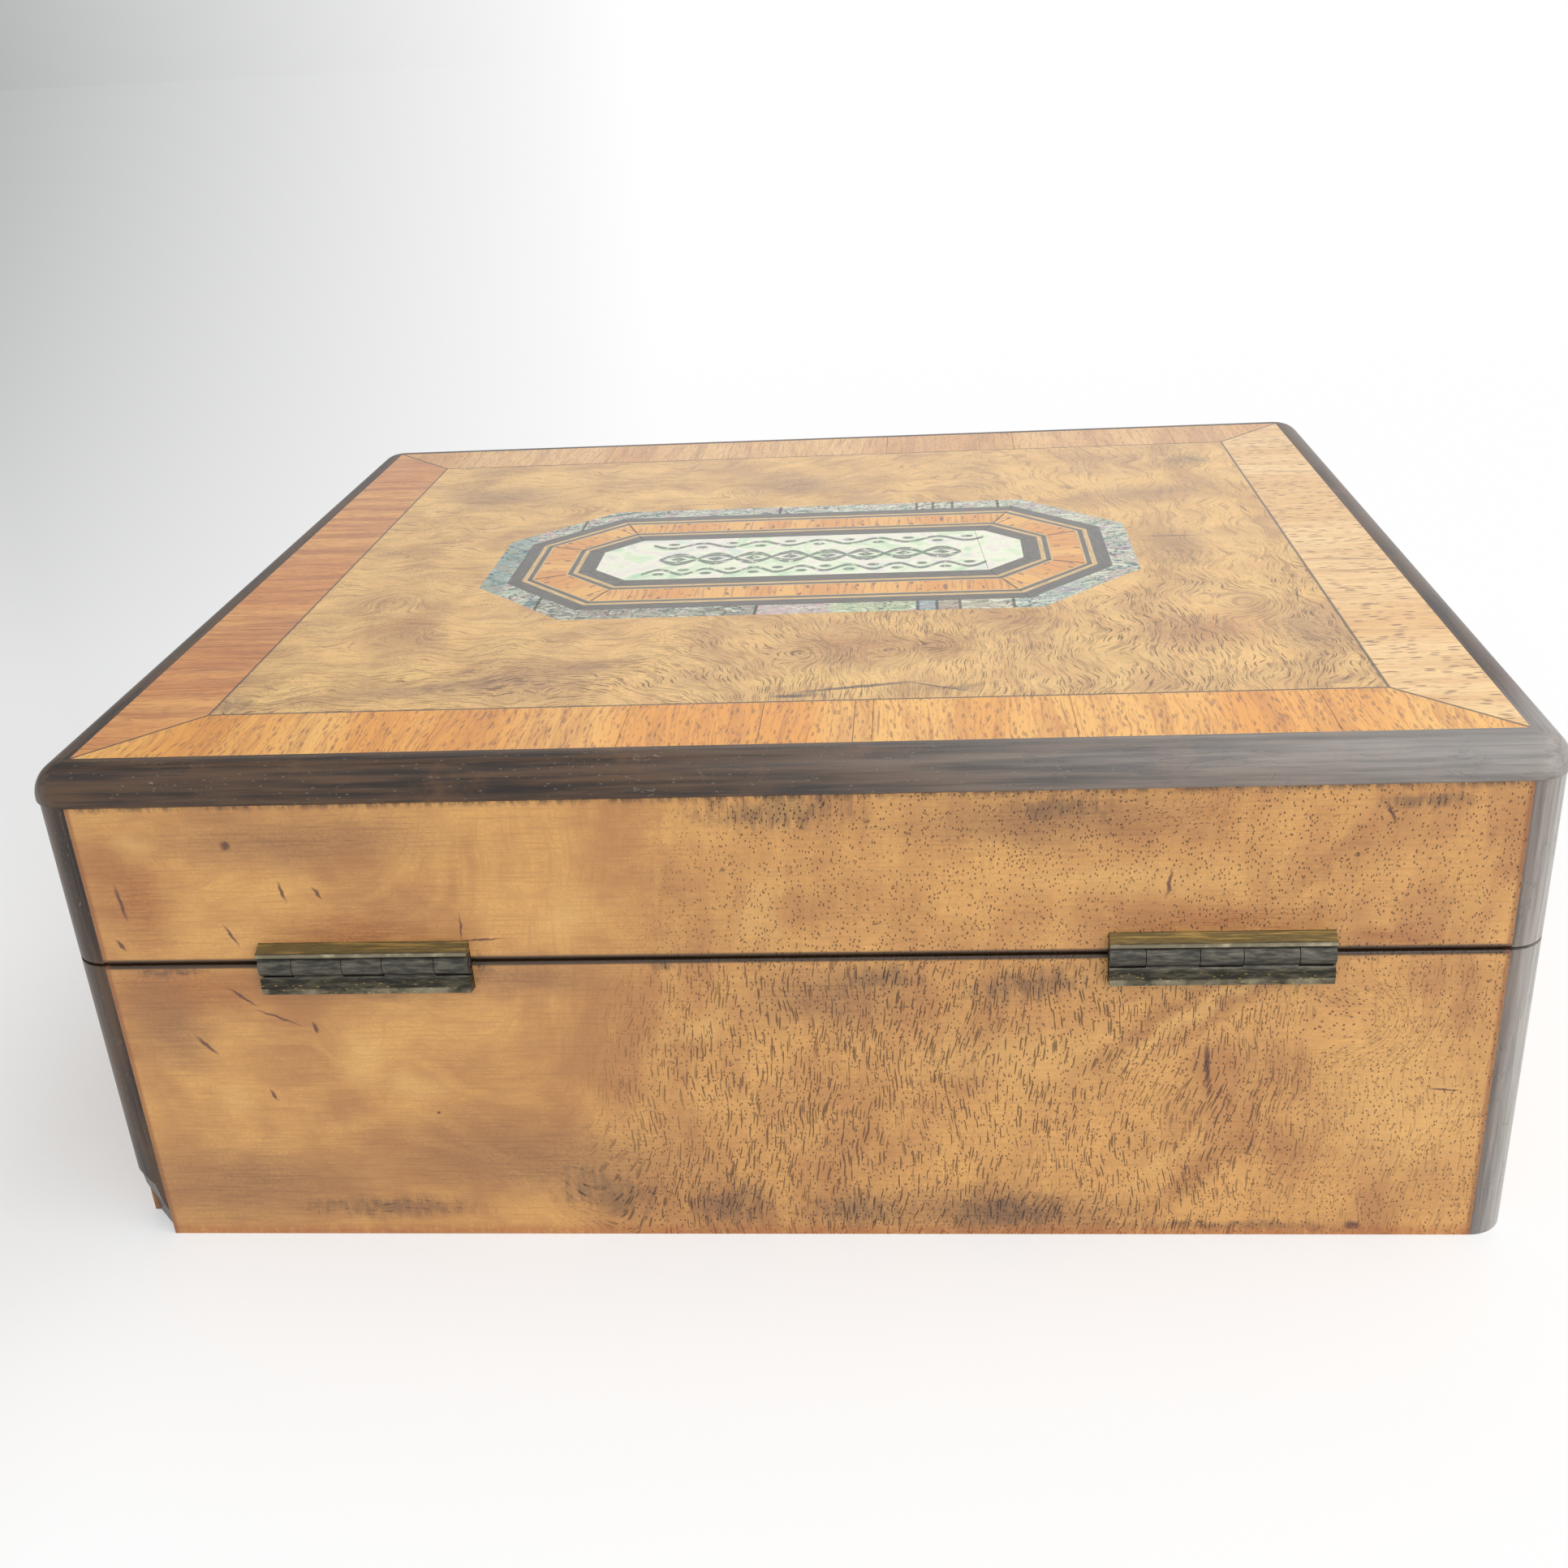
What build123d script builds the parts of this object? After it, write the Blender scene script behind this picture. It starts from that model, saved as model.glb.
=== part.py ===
from build123d import *
import math
import os

# Antique veneered handkerchief box with a hinged lid, at its real size in millimetres.
# The origin is the centre of the underside. X runs along the width, +Z is up.
# The lock is at the front, on the -Y side, and the two hinges are at the back, on the +Y side.
# Left and right are those of a person who stands in front of the lock.

# Overall sizes
box_width = 200.0
box_depth = 168.0
base_height = 47.0
rim_gap = 0.5
lid_height = 29.0

# Carcass, veneer and solid edging
board_thickness = 7.2
veneer_thickness = 0.8
bottom_thickness = 5.0
bottom_rebate = 2.4
top_thickness = 6.0
bead_size = 5.4
moulding_size = 5.0
moulding_proud = 0.35
moulding_lip = 0.25
moulding_round = 4.6
arris = 0.3
chip_height = 10.5
chip_depth = 2.3

# Crossbanding round the lid and the joints between its short lengths of veneer
crossband_width = 13.8
glue_line = 0.06
long_band_joints = (-72.0, -39.0, -12.5, 21.0, 47.0, 76.0)
short_band_joints = (-57.0, -31.0, 4.0, 26.0, 55.0)

# Inlay: an octagonal shell plaque inside concentric bands, each width measured outwards
plaque_length = 73.0
plaque_width = 21.6
plaque_corner = 6.0
plaque_crack_x = -29.6
plaque_crack_tilt = 4.0
inlay_shift = 1.0
inner_ebony_width = 2.9
box_line_width = 0.82
ebony_line_width = 0.8
fine_line_width = 0.35
kingwood_width = 5.0
outer_ebony_width = 2.4
shell_width = 4.3
# Extra joints in the shell border: distance round X and Y from the inlay's centre, and tilt
shell_joints = (
    (7.0, 27.5, 84.0),
    (-24.0, 27.5, 62.0),
    (-43.0, 22.0, 20.0),
    (-52.5, -12.5, 40.0),
    (-4.0, -27.5, 95.0),
    (30.0, -27.5, 70.0),
    (52.5, 6.0, 8.0),
)

# Stop hinges
hinge_length = 29.2
hinge_inset = 27.9
hinge_axis_offset = 0.15
knuckle_lengths = (4.7, 7.2, 5.6, 7.0, 4.7)
knuckle_radius = 1.7
knuckle_gap = 0.1
knuckle_clearance = 0.15
pin_radius = 0.85
pin_clearance = 0.03
pin_chamfer = 0.25
leaf_reach = 7.2
leaf_thickness = 1.2
leaf_gap = 0.15
flange_reach = 2.6
flange_height = 3.2
ridge_reach = 1.6
ridge_edge = 0.55
stop_angle = 96.0
lower_flange_height = 4.3
lower_ridge_reach = 1.7
lower_ridge_slope = 1.15
lower_ridge_chamfer = 0.4
hinge_fit = 0.05

# Countersunk wood screws, one size for the hinges, the lock and the striking plate
screw_head_radius = 1.45
screw_head_height = 0.75
screw_shank_radius = 0.8
screw_length = 6.0
screw_slot_width = 0.45
screw_slot_depth = 0.35
screw_fit = 0.04
hinge_screw_pitch = 9.5

# Lock, let into the inside of the front board
lock_width = 40.0
lock_height = 20.0
lock_plate_thickness = 0.9
selvedge_depth = 6.4
lock_case_width = 30.0
lock_case_height = 17.6
lock_case_depth = 4.5
lock_case_wall = 0.6
lock_fit = 0.1
lock_screw_inset = 2.6
lock_screw_drop = 4.2
lock_screw_rise = 3.0
key_drop = 12.5
drill_pin_radius = 0.9
drill_pin_length = 5.4
keyhole_radius = 1.9
keyhole_slot_width = 1.7
keyhole_slot_drop = 5.2
escutcheon_width = 0.9

# Striking plate and its staple, and the bolt that passes through the staple's eye
strike_width = 26.0
strike_screw_inset = 3.6
staple_thickness = 1.6
staple_width = 3.4
staple_height = 6.1
staple_leg = 0.8
eye_height = 2.4
eye_rise = 1.0
staple_setback = 0.25
staple_room = 0.45
staple_back_room = 0.2
staple_foot_radius = 1.0
bolt_play = 0.2
bolt_travel = 4.5
bolt_head_clearance = 0.4
bolt_body_width = 5.0
bolt_tail_drop = 8.1
bolt_tail_height = 3.0
talon_radius = 1.3
spring_inset = 0.6
spring_length = 6.8
spring_thickness = 0.35

# Silk over card, and padding
lining_thickness = 1.0
lining_drop = 1.0
lining_fit = 0.05
lining_lock_room = 0.5
pad_clearance = 0.3
floor_pad_thickness = 4.0
lid_pad_thickness = 6.5
pad_rounding = 1.6

# Heights and faces worked out from the sizes above
lid_rim = base_height + rim_gap
box_height = lid_rim + lid_height
half_width = box_width / 2
half_depth = box_depth / 2
carcass_x = half_width - veneer_thickness
carcass_y = half_depth - veneer_thickness
inside_x = carcass_x - board_thickness
inside_y = carcass_y - board_thickness
bead_x = half_width - bead_size
bead_y = half_depth - bead_size
moulding_bottom = box_height - moulding_size
veneer_bed = box_height - veneer_thickness
top_underside = veneer_bed - top_thickness
hinge_axis_y = half_depth + hinge_axis_offset
hinge_axis_z = base_height + rim_gap / 2
sides = {"front": -1, "back": 1, "left": -1, "right": 1}

os.makedirs("parts", exist_ok=True)


def save(piece, label):
    piece.part.label = label
    export_step(piece.part, "parts/" + label + ".step")


def block(x_range, y_range, z_range, mode=Mode.ADD):
    with BuildSketch(Plane.XY.offset(z_range[0])) as footprint:
        with Locations((sum(x_range) / 2, sum(y_range) / 2)):
            Rectangle(x_range[1] - x_range[0], y_range[1] - y_range[0])
    extrude(footprint.sketch, amount=z_range[1] - z_range[0], mode=mode)


def from_face(face, depth, sign):
    # The range between a face and a depth behind it, on the side of the box that sign gives
    return (face - depth, face) if sign > 0 else (-face, depth - face)


# Places that several pieces share
def hinge_centres():
    centre = half_width - hinge_inset - hinge_length / 2
    return {"left": -centre, "right": centre}


def knuckle_ranges(keep):
    # Spans of every other knuckle from the hinge's end, and keep picks which of the two sets
    edges = [sum(knuckle_lengths[:i]) for i in range(len(knuckle_lengths) + 1)]
    return [(edges[i], edges[i + 1]) for i in range(len(knuckle_lengths)) if i % 2 == keep]


def hinge_screw_places(centre):
    y = carcass_y - board_thickness / 2
    return [(centre + i * hinge_screw_pitch, y) for i in (-1, 0, 1)]


def lock_screw_places():
    x = lock_width / 2 - lock_screw_inset
    low = base_height - lock_height + lock_screw_rise
    high = base_height - lock_screw_drop
    return [(sx * x, z) for sx in (-1, 1) for z in (low, high)]


def strike_screw_places():
    x = strike_width / 2 - strike_screw_inset
    y = -(inside_y + selvedge_depth / 2)
    return [(-x, y), (x, y)]


key_z = base_height - key_drop
staple_y = -(inside_y + lock_plate_thickness + staple_setback + staple_width / 2)
staple_bottom = lid_rim - staple_height
eye_bottom = staple_bottom + eye_rise


# Screws: a countersunk head with a slot, on a plain shank
def screw_at(plane):
    with BuildSketch(plane) as rim:
        Circle(screw_head_radius)
    with BuildSketch(plane.offset(-screw_head_height)) as neck:
        Circle(screw_shank_radius)
    with BuildSketch(plane) as slot:
        Rectangle(3 * screw_head_radius, screw_slot_width)
    loft([rim.sketch, neck.sketch])
    extrude(neck.sketch, amount=-(screw_length - screw_head_height))
    extrude(slot.sketch, amount=-screw_slot_depth, mode=Mode.SUBTRACT)


def screw_hole_at(plane):
    # The seat and pilot hole that a screw at the same plane goes into
    with BuildSketch(plane) as rim:
        Circle(screw_head_radius + screw_fit)
    with BuildSketch(plane.offset(-screw_head_height)) as neck:
        Circle(screw_shank_radius + screw_fit)
    with BuildSketch(plane) as pilot:
        Circle(screw_shank_radius + screw_fit)
    loft([rim.sketch, neck.sketch], mode=Mode.SUBTRACT)
    extrude(pilot.sketch, amount=-(screw_length + screw_fit), mode=Mode.SUBTRACT)


def up_plane(x, y, z):
    return Plane(origin=(x, y, z), z_dir=(0, 0, 1))


def down_plane(x, y, z):
    return Plane(origin=(x, y, z), z_dir=(0, 0, -1))


def back_plane(x, y, z):
    return Plane(origin=(x, y, z), z_dir=(0, 1, 0))


def base_screw_planes():
    leaf_top = hinge_axis_z - leaf_gap / 2
    planes = [
        up_plane(x, y, leaf_top)
        for centre in hinge_centres().values()
        for x, y in hinge_screw_places(centre)
    ]
    planes += [back_plane(x, -inside_y, z) for x, z in lock_screw_places()]
    return planes


def lid_screw_planes():
    leaf_bottom = hinge_axis_z + leaf_gap / 2
    planes = [
        down_plane(x, y, leaf_bottom)
        for centre in hinge_centres().values()
        for x, y in hinge_screw_places(centre)
    ]
    planes += [down_plane(x, y, lid_rim) for x, y in strike_screw_places()]
    return planes


# Hinge leaves: a plate in the rim, a flange in the back face and a ridge that is the stop
def leaf_height(up):
    return flange_height if up > 0 else lower_flange_height


def leaf_outline(up):
    face = leaf_gap / 2
    back = face + leaf_thickness
    height = leaf_height(up)
    ridge = face + ridge_reach * math.tan(math.radians(stop_angle / 2))
    front = [(ridge_reach, ridge + ridge_edge)]
    if up < 0:
        # The lower ridge slopes on outwards below the stop face, to a taller front
        front = [
            (lower_ridge_reach, ridge + lower_ridge_slope),
            (lower_ridge_reach, height - lower_ridge_chamfer),
        ]
    points = [
        (-leaf_reach, face),
        (0, face),
        (ridge_reach, ridge),
        *front,
        (-hinge_axis_offset, height),
        (-flange_reach, height),
        (-flange_reach, back),
        (-leaf_reach, back),
    ]
    return [(hinge_axis_y + p, hinge_axis_z + up * q) for p, q in points]


def hinge_recess(up):
    # The room that both hinges' leaves need in a board or a veneer
    reach = 4 * ridge_reach
    low, high = leaf_gap / 2 + leaf_thickness + hinge_fit, leaf_height(up) + hinge_fit
    for centre in hinge_centres().values():
        x_range = (
            centre - hinge_length / 2 - hinge_fit,
            centre + hinge_length / 2 + hinge_fit,
        )
        plate = (hinge_axis_z - reach, hinge_axis_z + low)
        flange = (hinge_axis_z - reach, hinge_axis_z + high)
        if up < 0:
            plate = (hinge_axis_z - low, hinge_axis_z + reach)
            flange = (hinge_axis_z - high, hinge_axis_z + reach)
        block(
            x_range,
            (hinge_axis_y - leaf_reach - hinge_fit, hinge_axis_y + reach),
            plate,
            mode=Mode.SUBTRACT,
        )
        block(
            x_range,
            (hinge_axis_y - flange_reach - hinge_fit, hinge_axis_y + reach),
            flange,
            mode=Mode.SUBTRACT,
        )


def hinge_leaf(centre, up, label):
    start = centre - hinge_length / 2
    own, other = knuckle_ranges(0 if up > 0 else 1), knuckle_ranges(1 if up > 0 else 0)
    with BuildPart() as leaf:
        with BuildSketch(Plane.YZ.offset(start)):
            with BuildLine():
                Polyline(*leaf_outline(up), close=True)
            make_face()
        extrude(amount=hinge_length)
        for low, high in other:
            with BuildSketch(Plane.YZ.offset(start + low - knuckle_gap / 2)):
                with Locations((hinge_axis_y, hinge_axis_z)):
                    Circle(knuckle_radius + knuckle_clearance)
            extrude(amount=high - low + knuckle_gap, mode=Mode.SUBTRACT)
        for low, high in own:
            first = low + (knuckle_gap / 2 if low > 0 else 0)
            last = high - (knuckle_gap / 2 if high < hinge_length - 0.01 else 0)
            with BuildSketch(Plane.YZ.offset(start + first)):
                with Locations((hinge_axis_y, hinge_axis_z)):
                    Circle(knuckle_radius)
            extrude(amount=last - first)
        with BuildSketch(Plane.YZ.offset(start)):
            with Locations((hinge_axis_y, hinge_axis_z)):
                Circle(pin_radius + pin_clearance)
        extrude(amount=hinge_length, mode=Mode.SUBTRACT)
        for x, y in hinge_screw_places(centre):
            face = hinge_axis_z + up * leaf_gap / 2
            screw_hole_at(up_plane(x, y, face) if up < 0 else down_plane(x, y, face))
    save(leaf, label)


def hinge_pins():
    with BuildPart() as pins:
        for centre in hinge_centres().values():
            with BuildSketch(Plane.YZ.offset(centre - hinge_length / 2)):
                with Locations((hinge_axis_y, hinge_axis_z)):
                    Circle(pin_radius)
            extrude(amount=hinge_length)
        chamfer(pins.edges().filter_by(GeomType.CIRCLE), pin_chamfer)
    save(pins, "hinge_pins")


for side, centre in hinge_centres().items():
    hinge_leaf(centre, -1, "hinge_lower_leaf_" + side)
    hinge_leaf(centre, 1, "hinge_upper_leaf_" + side)
hinge_pins()

with BuildPart() as base_screws:
    for plane in base_screw_planes():
        screw_at(plane)
save(base_screws, "base_screws")

with BuildPart() as lid_screws:
    for plane in lid_screw_planes():
        screw_at(plane)
save(lid_screws, "lid_screws")


# Keyhole: a round hole with a slot below it, cut straight through along Y
def keyhole_shape(y_range, grow=0.0, mode=Mode.SUBTRACT):
    facing_front = Plane(origin=(0, y_range[1], 0), x_dir=(1, 0, 0), z_dir=(0, -1, 0))
    with BuildSketch(facing_front) as keyhole:
        with Locations((0, key_z)):
            Circle(keyhole_radius + grow)
        with Locations((0, key_z - keyhole_slot_drop / 2)):
            Rectangle(keyhole_slot_width + 2 * grow, keyhole_slot_drop + 2 * grow)
    extrude(keyhole.sketch, amount=y_range[1] - y_range[0], mode=mode)


# Lock, from the case outwards
def lock_mortise():
    x_plate = (-lock_width / 2 - lock_fit, lock_width / 2 + lock_fit)
    x_case = (-lock_case_width / 2 - lock_fit, lock_case_width / 2 + lock_fit)
    plate_back = -(inside_y + lock_plate_thickness + lock_fit)
    case_back = -(inside_y + lock_plate_thickness + lock_case_depth + lock_fit)
    selvedge_back = -(inside_y + selvedge_depth + lock_fit)
    low = base_height - lock_height - lock_fit
    case_top = base_height - lock_plate_thickness
    case_low = case_top - lock_case_height - lock_fit
    block(x_plate, (plate_back, -inside_y), (low, base_height), mode=Mode.SUBTRACT)
    block(x_case, (case_back, -inside_y), (case_low, base_height), mode=Mode.SUBTRACT)
    block(
        x_plate,
        (selvedge_back, -inside_y),
        (case_top - lock_fit, base_height),
        mode=Mode.SUBTRACT,
    )


def staple_slot(z_range):
    x = staple_thickness / 2 + staple_room
    front = staple_y - staple_width / 2 - staple_room
    back = staple_y + staple_width / 2 + staple_back_room
    block((-x, x), (front, back), z_range, mode=Mode.SUBTRACT)


with BuildPart() as lock_plate:
    block(
        (-lock_width / 2, lock_width / 2),
        (-(inside_y + lock_plate_thickness), -inside_y),
        (base_height - lock_height, base_height),
    )
    block(
        (-lock_width / 2, lock_width / 2),
        (-(inside_y + selvedge_depth), -inside_y),
        (base_height - lock_plate_thickness, base_height),
    )
    staple_slot((base_height - lock_plate_thickness, base_height))
    for x, z in lock_screw_places():
        screw_hole_at(back_plane(x, -inside_y, z))
save(lock_plate, "lock_plate")

case_top = base_height - lock_plate_thickness
case_inner = -(inside_y + lock_plate_thickness)
case_outer = case_inner - lock_case_depth
with BuildPart() as lock_case:
    block(
        (-lock_case_width / 2, lock_case_width / 2),
        (case_outer, case_inner),
        (case_top - lock_case_height, case_top),
    )
    block(
        (-lock_case_width / 2 + lock_case_wall, lock_case_width / 2 - lock_case_wall),
        (case_outer + lock_case_wall, case_inner),
        (case_top - lock_case_height + lock_case_wall, case_top),
        mode=Mode.SUBTRACT,
    )
    keyhole_shape((case_outer, case_outer + lock_case_wall))
save(lock_case, "lock_case")

with BuildPart() as lock_drill_pin:
    with BuildSketch(Plane(origin=(0, case_inner, key_z), z_dir=(0, -1, 0))):
        Circle(drill_pin_radius)
    extrude(amount=drill_pin_length)
    chamfer(lock_drill_pin.edges().sort_by(Axis.Y)[0], 0.3)
save(lock_drill_pin, "lock_drill_pin")

# The bolt is a bar whose head goes through the staple, with a tail that the key's bit pushes
bolt_tip = -staple_thickness / 2 - bolt_head_clearance
bolt_low = eye_bottom + bolt_play
bolt_high = eye_bottom + eye_height - bolt_play
head_y = (staple_y - staple_width / 2 + staple_leg + bolt_play,
          staple_y + staple_width / 2 - staple_leg - bolt_play)
body_y = (case_outer + lock_case_wall + bolt_play, head_y[1])
bolt_back = -(lock_case_width / 2 - lock_case_wall - bolt_play)
tail_end = -bolt_back - bolt_travel
tail_z = (bolt_high - bolt_tail_drop, bolt_high - bolt_tail_drop + bolt_tail_height)
with BuildPart() as lock_bolt:
    block((bolt_back, bolt_tip), head_y, (bolt_low, bolt_high))
    block((bolt_back, bolt_back + bolt_body_width), body_y, (tail_z[0], bolt_high))
    block((bolt_back, tail_end), body_y, tail_z)
    with BuildSketch(Plane(origin=(0, body_y[1], 0), x_dir=(1, 0, 0), z_dir=(0, -1, 0))):
        with Locations((-bolt_travel / 2, tail_z[0])):
            Circle(talon_radius)
    extrude(amount=body_y[1] - body_y[0], mode=Mode.SUBTRACT)
    # A bent spring on the bolt's back bears on the underside of the selvedge
    spring_top = case_top - bolt_play
    start = bolt_back + spring_inset
    end = start + spring_length
    middle = (start + end) / 2
    foot = 2 * spring_thickness
    with BuildSketch(Plane(origin=(0, head_y[1], 0), x_dir=(1, 0, 0), z_dir=(0, -1, 0))):
        with BuildLine():
            Line((end, bolt_high), (start, bolt_high))
            ThreePointArc((start, bolt_high), (middle, spring_top), (end, bolt_high))
        make_face()
        with BuildLine():
            Line((end - foot, bolt_high), (start + foot, bolt_high))
            ThreePointArc(
                (start + foot, bolt_high),
                (middle, spring_top - spring_thickness),
                (end - foot, bolt_high),
            )
        make_face(mode=Mode.SUBTRACT)
    extrude(amount=head_y[1] - head_y[0])
save(lock_bolt, "lock_bolt")

with BuildPart() as keyhole_escutcheon:
    keyhole_shape((-half_depth, -carcass_y), escutcheon_width, Mode.ADD)
    keyhole_shape((-half_depth, -carcass_y))
save(keyhole_escutcheon, "keyhole_escutcheon")

with BuildPart() as strike_plate:
    block(
        (-strike_width / 2, strike_width / 2),
        (-(inside_y + selvedge_depth), -inside_y),
        (lid_rim, lid_rim + lock_plate_thickness),
    )
    block(
        (-staple_thickness / 2, staple_thickness / 2),
        (staple_y - staple_width / 2, staple_y + staple_width / 2),
        (staple_bottom, lid_rim),
    )
    tip = strike_plate.faces().sort_by(Axis.Z)[0]
    fillet(tip.edges().filter_by(Axis.X), staple_foot_radius)
    block(
        (-staple_thickness / 2, staple_thickness / 2),
        (staple_y - staple_width / 2 + staple_leg, staple_y + staple_width / 2 - staple_leg),
        (eye_bottom, eye_bottom + eye_height),
        mode=Mode.SUBTRACT,
    )
    for x, y in strike_screw_places():
        screw_hole_at(down_plane(x, y, lid_rim))
save(strike_plate, "strike_plate")


# Carcass boards: the front and back run the full width and the ends fit between them
def long_board(side, z_range):
    sign = sides[side]
    block((-carcass_x, carcass_x), from_face(carcass_y, board_thickness, sign), z_range)
    corner = bead_size - veneer_thickness
    for end in (-1, 1):
        block(
            from_face(carcass_x, corner, end),
            from_face(carcass_y, corner, sign),
            z_range,
            mode=Mode.SUBTRACT,
        )


def short_board(side, z_range):
    block(from_face(carcass_x, board_thickness, sides[side]), (-inside_y, inside_y), z_range)


def bottom_rebate_cut():
    block(
        (-inside_x - bottom_rebate, inside_x + bottom_rebate),
        (-inside_y - bottom_rebate, inside_y + bottom_rebate),
        (0, bottom_thickness),
        mode=Mode.SUBTRACT,
    )


base_span = (0, base_height)
lid_span = (lid_rim, top_underside)

with BuildPart() as base_front_board:
    long_board("front", base_span)
    bottom_rebate_cut()
    lock_mortise()
    keyhole_shape((-carcass_y, case_outer))
    for plane in base_screw_planes():
        screw_hole_at(plane)
save(base_front_board, "base_front_board")

with BuildPart() as base_back_board:
    long_board("back", base_span)
    bottom_rebate_cut()
    hinge_recess(-1)
    for plane in base_screw_planes():
        screw_hole_at(plane)
save(base_back_board, "base_back_board")

with BuildPart() as lid_front_board:
    long_board("front", lid_span)
    block(
        (-strike_width / 2 - lock_fit, strike_width / 2 + lock_fit),
        (-(inside_y + selvedge_depth + lock_fit), -inside_y),
        (lid_rim, lid_rim + lock_plate_thickness),
        mode=Mode.SUBTRACT,
    )
    for plane in lid_screw_planes():
        screw_hole_at(plane)
save(lid_front_board, "lid_front_board")

with BuildPart() as lid_back_board:
    long_board("back", lid_span)
    hinge_recess(1)
    for plane in lid_screw_planes():
        screw_hole_at(plane)
save(lid_back_board, "lid_back_board")

for side in ("left", "right"):
    with BuildPart() as base_end_board:
        short_board(side, base_span)
        bottom_rebate_cut()
    save(base_end_board, "base_" + side + "_board")
    with BuildPart() as lid_end_board:
        short_board(side, lid_span)
    save(lid_end_board, "lid_" + side + "_board")

with BuildPart() as base_bottom_board:
    block(
        (-inside_x - bottom_rebate, inside_x + bottom_rebate),
        (-inside_y - bottom_rebate, inside_y + bottom_rebate),
        (0, bottom_thickness),
    )
save(base_bottom_board, "base_bottom_board")

# The lid's top board is stepped round its edge, where the moulding sits
top_x = half_width - moulding_size
top_y = half_depth - moulding_size
with BuildPart() as lid_top_board:
    block((-carcass_x, carcass_x), (-carcass_y, carcass_y), (top_underside, moulding_bottom))
    for sx in (-1, 1):
        for sy in (-1, 1):
            block(
                from_face(carcass_x, bead_size - veneer_thickness, sx),
                from_face(carcass_y, bead_size - veneer_thickness, sy),
                (top_underside, moulding_bottom),
                mode=Mode.SUBTRACT,
            )
    block((-top_x, top_x), (-top_y, top_y), (moulding_bottom, veneer_bed))
save(lid_top_board, "lid_top_board")


# Face veneers lie between the corner beads
def side_veneer(side, z_range):
    sign = sides[side]
    if side in ("front", "back"):
        block((-bead_x, bead_x), from_face(half_depth, veneer_thickness, sign), z_range)
    else:
        block(from_face(half_width, veneer_thickness, sign), (-bead_y, bead_y), z_range)


def soften_rim(piece, side, z):
    # The worn outer arris of a face veneer along the rim where the box opens
    along = Axis.X if side in ("front", "back") else Axis.Y
    outwards = Axis.Y if side in ("front", "back") else Axis.X
    rim = piece.edges().filter_by(along).filter_by_position(Axis.Z, z - 0.01, z + 0.01)
    ends = 0 if sides[side] < 0 else -1
    fillet(rim.group_by(outwards)[ends], arris)


for side in sides:
    with BuildPart() as base_veneer:
        side_veneer(side, base_span)
        if side == "back":
            hinge_recess(-1)
        soften_rim(base_veneer, side, base_height)
        if side == "front":
            keyhole_shape((-half_depth, -carcass_y), escutcheon_width)
    save(base_veneer, "base_" + side + "_veneer")
    with BuildPart() as lid_veneer:
        side_veneer(side, (lid_rim, moulding_bottom))
        if side == "back":
            hinge_recess(1)
        soften_rim(lid_veneer, side, lid_rim)
    save(lid_veneer, "lid_" + side + "_veneer")


# Corner beads: quarter rounds of ebonised wood
def corner_bead(sx, sy, z_range):
    with BuildSketch(Plane.XY.offset(z_range[0])) as quarter_round:
        with Locations((sx * bead_x, sy * bead_y)):
            Circle(bead_size)
        with Locations((sx * (bead_x + bead_size), sy * (bead_y + bead_size))):
            Rectangle(2 * bead_size, 2 * bead_size, mode=Mode.INTERSECT)
    extrude(quarter_round.sketch, amount=z_range[1] - z_range[0])


def chipped_foot(sx, sy):
    # Wood broken away from the foot of one bead, deepest near the bottom
    corner = Plane(
        origin=(sx * bead_x, sy * bead_y, 0),
        x_dir=(sx, sy, 0),
        z_dir=(sy, -sx, 0),
    )
    rise = 1 if corner.y_dir.Z > 0 else -1
    outside = bead_size + 1
    with BuildSketch(corner) as broken:
        with BuildLine():
            Polyline(
                (bead_size, rise * chip_height),
                (bead_size - 0.35 * chip_depth, rise * 0.86 * chip_height),
                (bead_size - 0.5 * chip_depth, rise * 0.55 * chip_height),
                (bead_size - 0.8 * chip_depth, rise * 0.3 * chip_height),
                (bead_size - chip_depth, -rise),
                (outside, -rise),
                (outside, rise * chip_height),
                close=True,
            )
        make_face()
    extrude(broken.sketch, amount=bead_size, both=True, mode=Mode.SUBTRACT)


corners = {
    "front_left": (-1, -1),
    "front_right": (1, -1),
    "back_left": (-1, 1),
    "back_right": (1, 1),
}
for name, (sx, sy) in corners.items():
    with BuildPart() as base_bead:
        corner_bead(sx, sy, base_span)
        if name == "back_right":
            chipped_foot(sx, sy)
    save(base_bead, "base_bead_" + name)
    with BuildPart() as lid_bead:
        corner_bead(sx, sy, (lid_rim, moulding_bottom))
    save(lid_bead, "lid_bead_" + name)


# Mitred strips round the lid: the edge moulding and the crossbanding
def mitred_strip(side, outer, inner, z_range):
    sign = sides[side]
    if side in ("front", "back"):
        points = [
            (-half_width + outer, sign * (half_depth - outer)),
            (half_width - outer, sign * (half_depth - outer)),
            (half_width - inner, sign * (half_depth - inner)),
            (-half_width + inner, sign * (half_depth - inner)),
        ]
    else:
        points = [
            (sign * (half_width - outer), -half_depth + outer),
            (sign * (half_width - outer), half_depth - outer),
            (sign * (half_width - inner), half_depth - inner),
            (sign * (half_width - inner), -half_depth + inner),
        ]
    with BuildSketch(Plane.XY.offset(z_range[0])) as strip:
        with BuildLine():
            Polyline(*points, close=True)
        make_face()
    extrude(strip.sketch, amount=z_range[1] - z_range[0])


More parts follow.
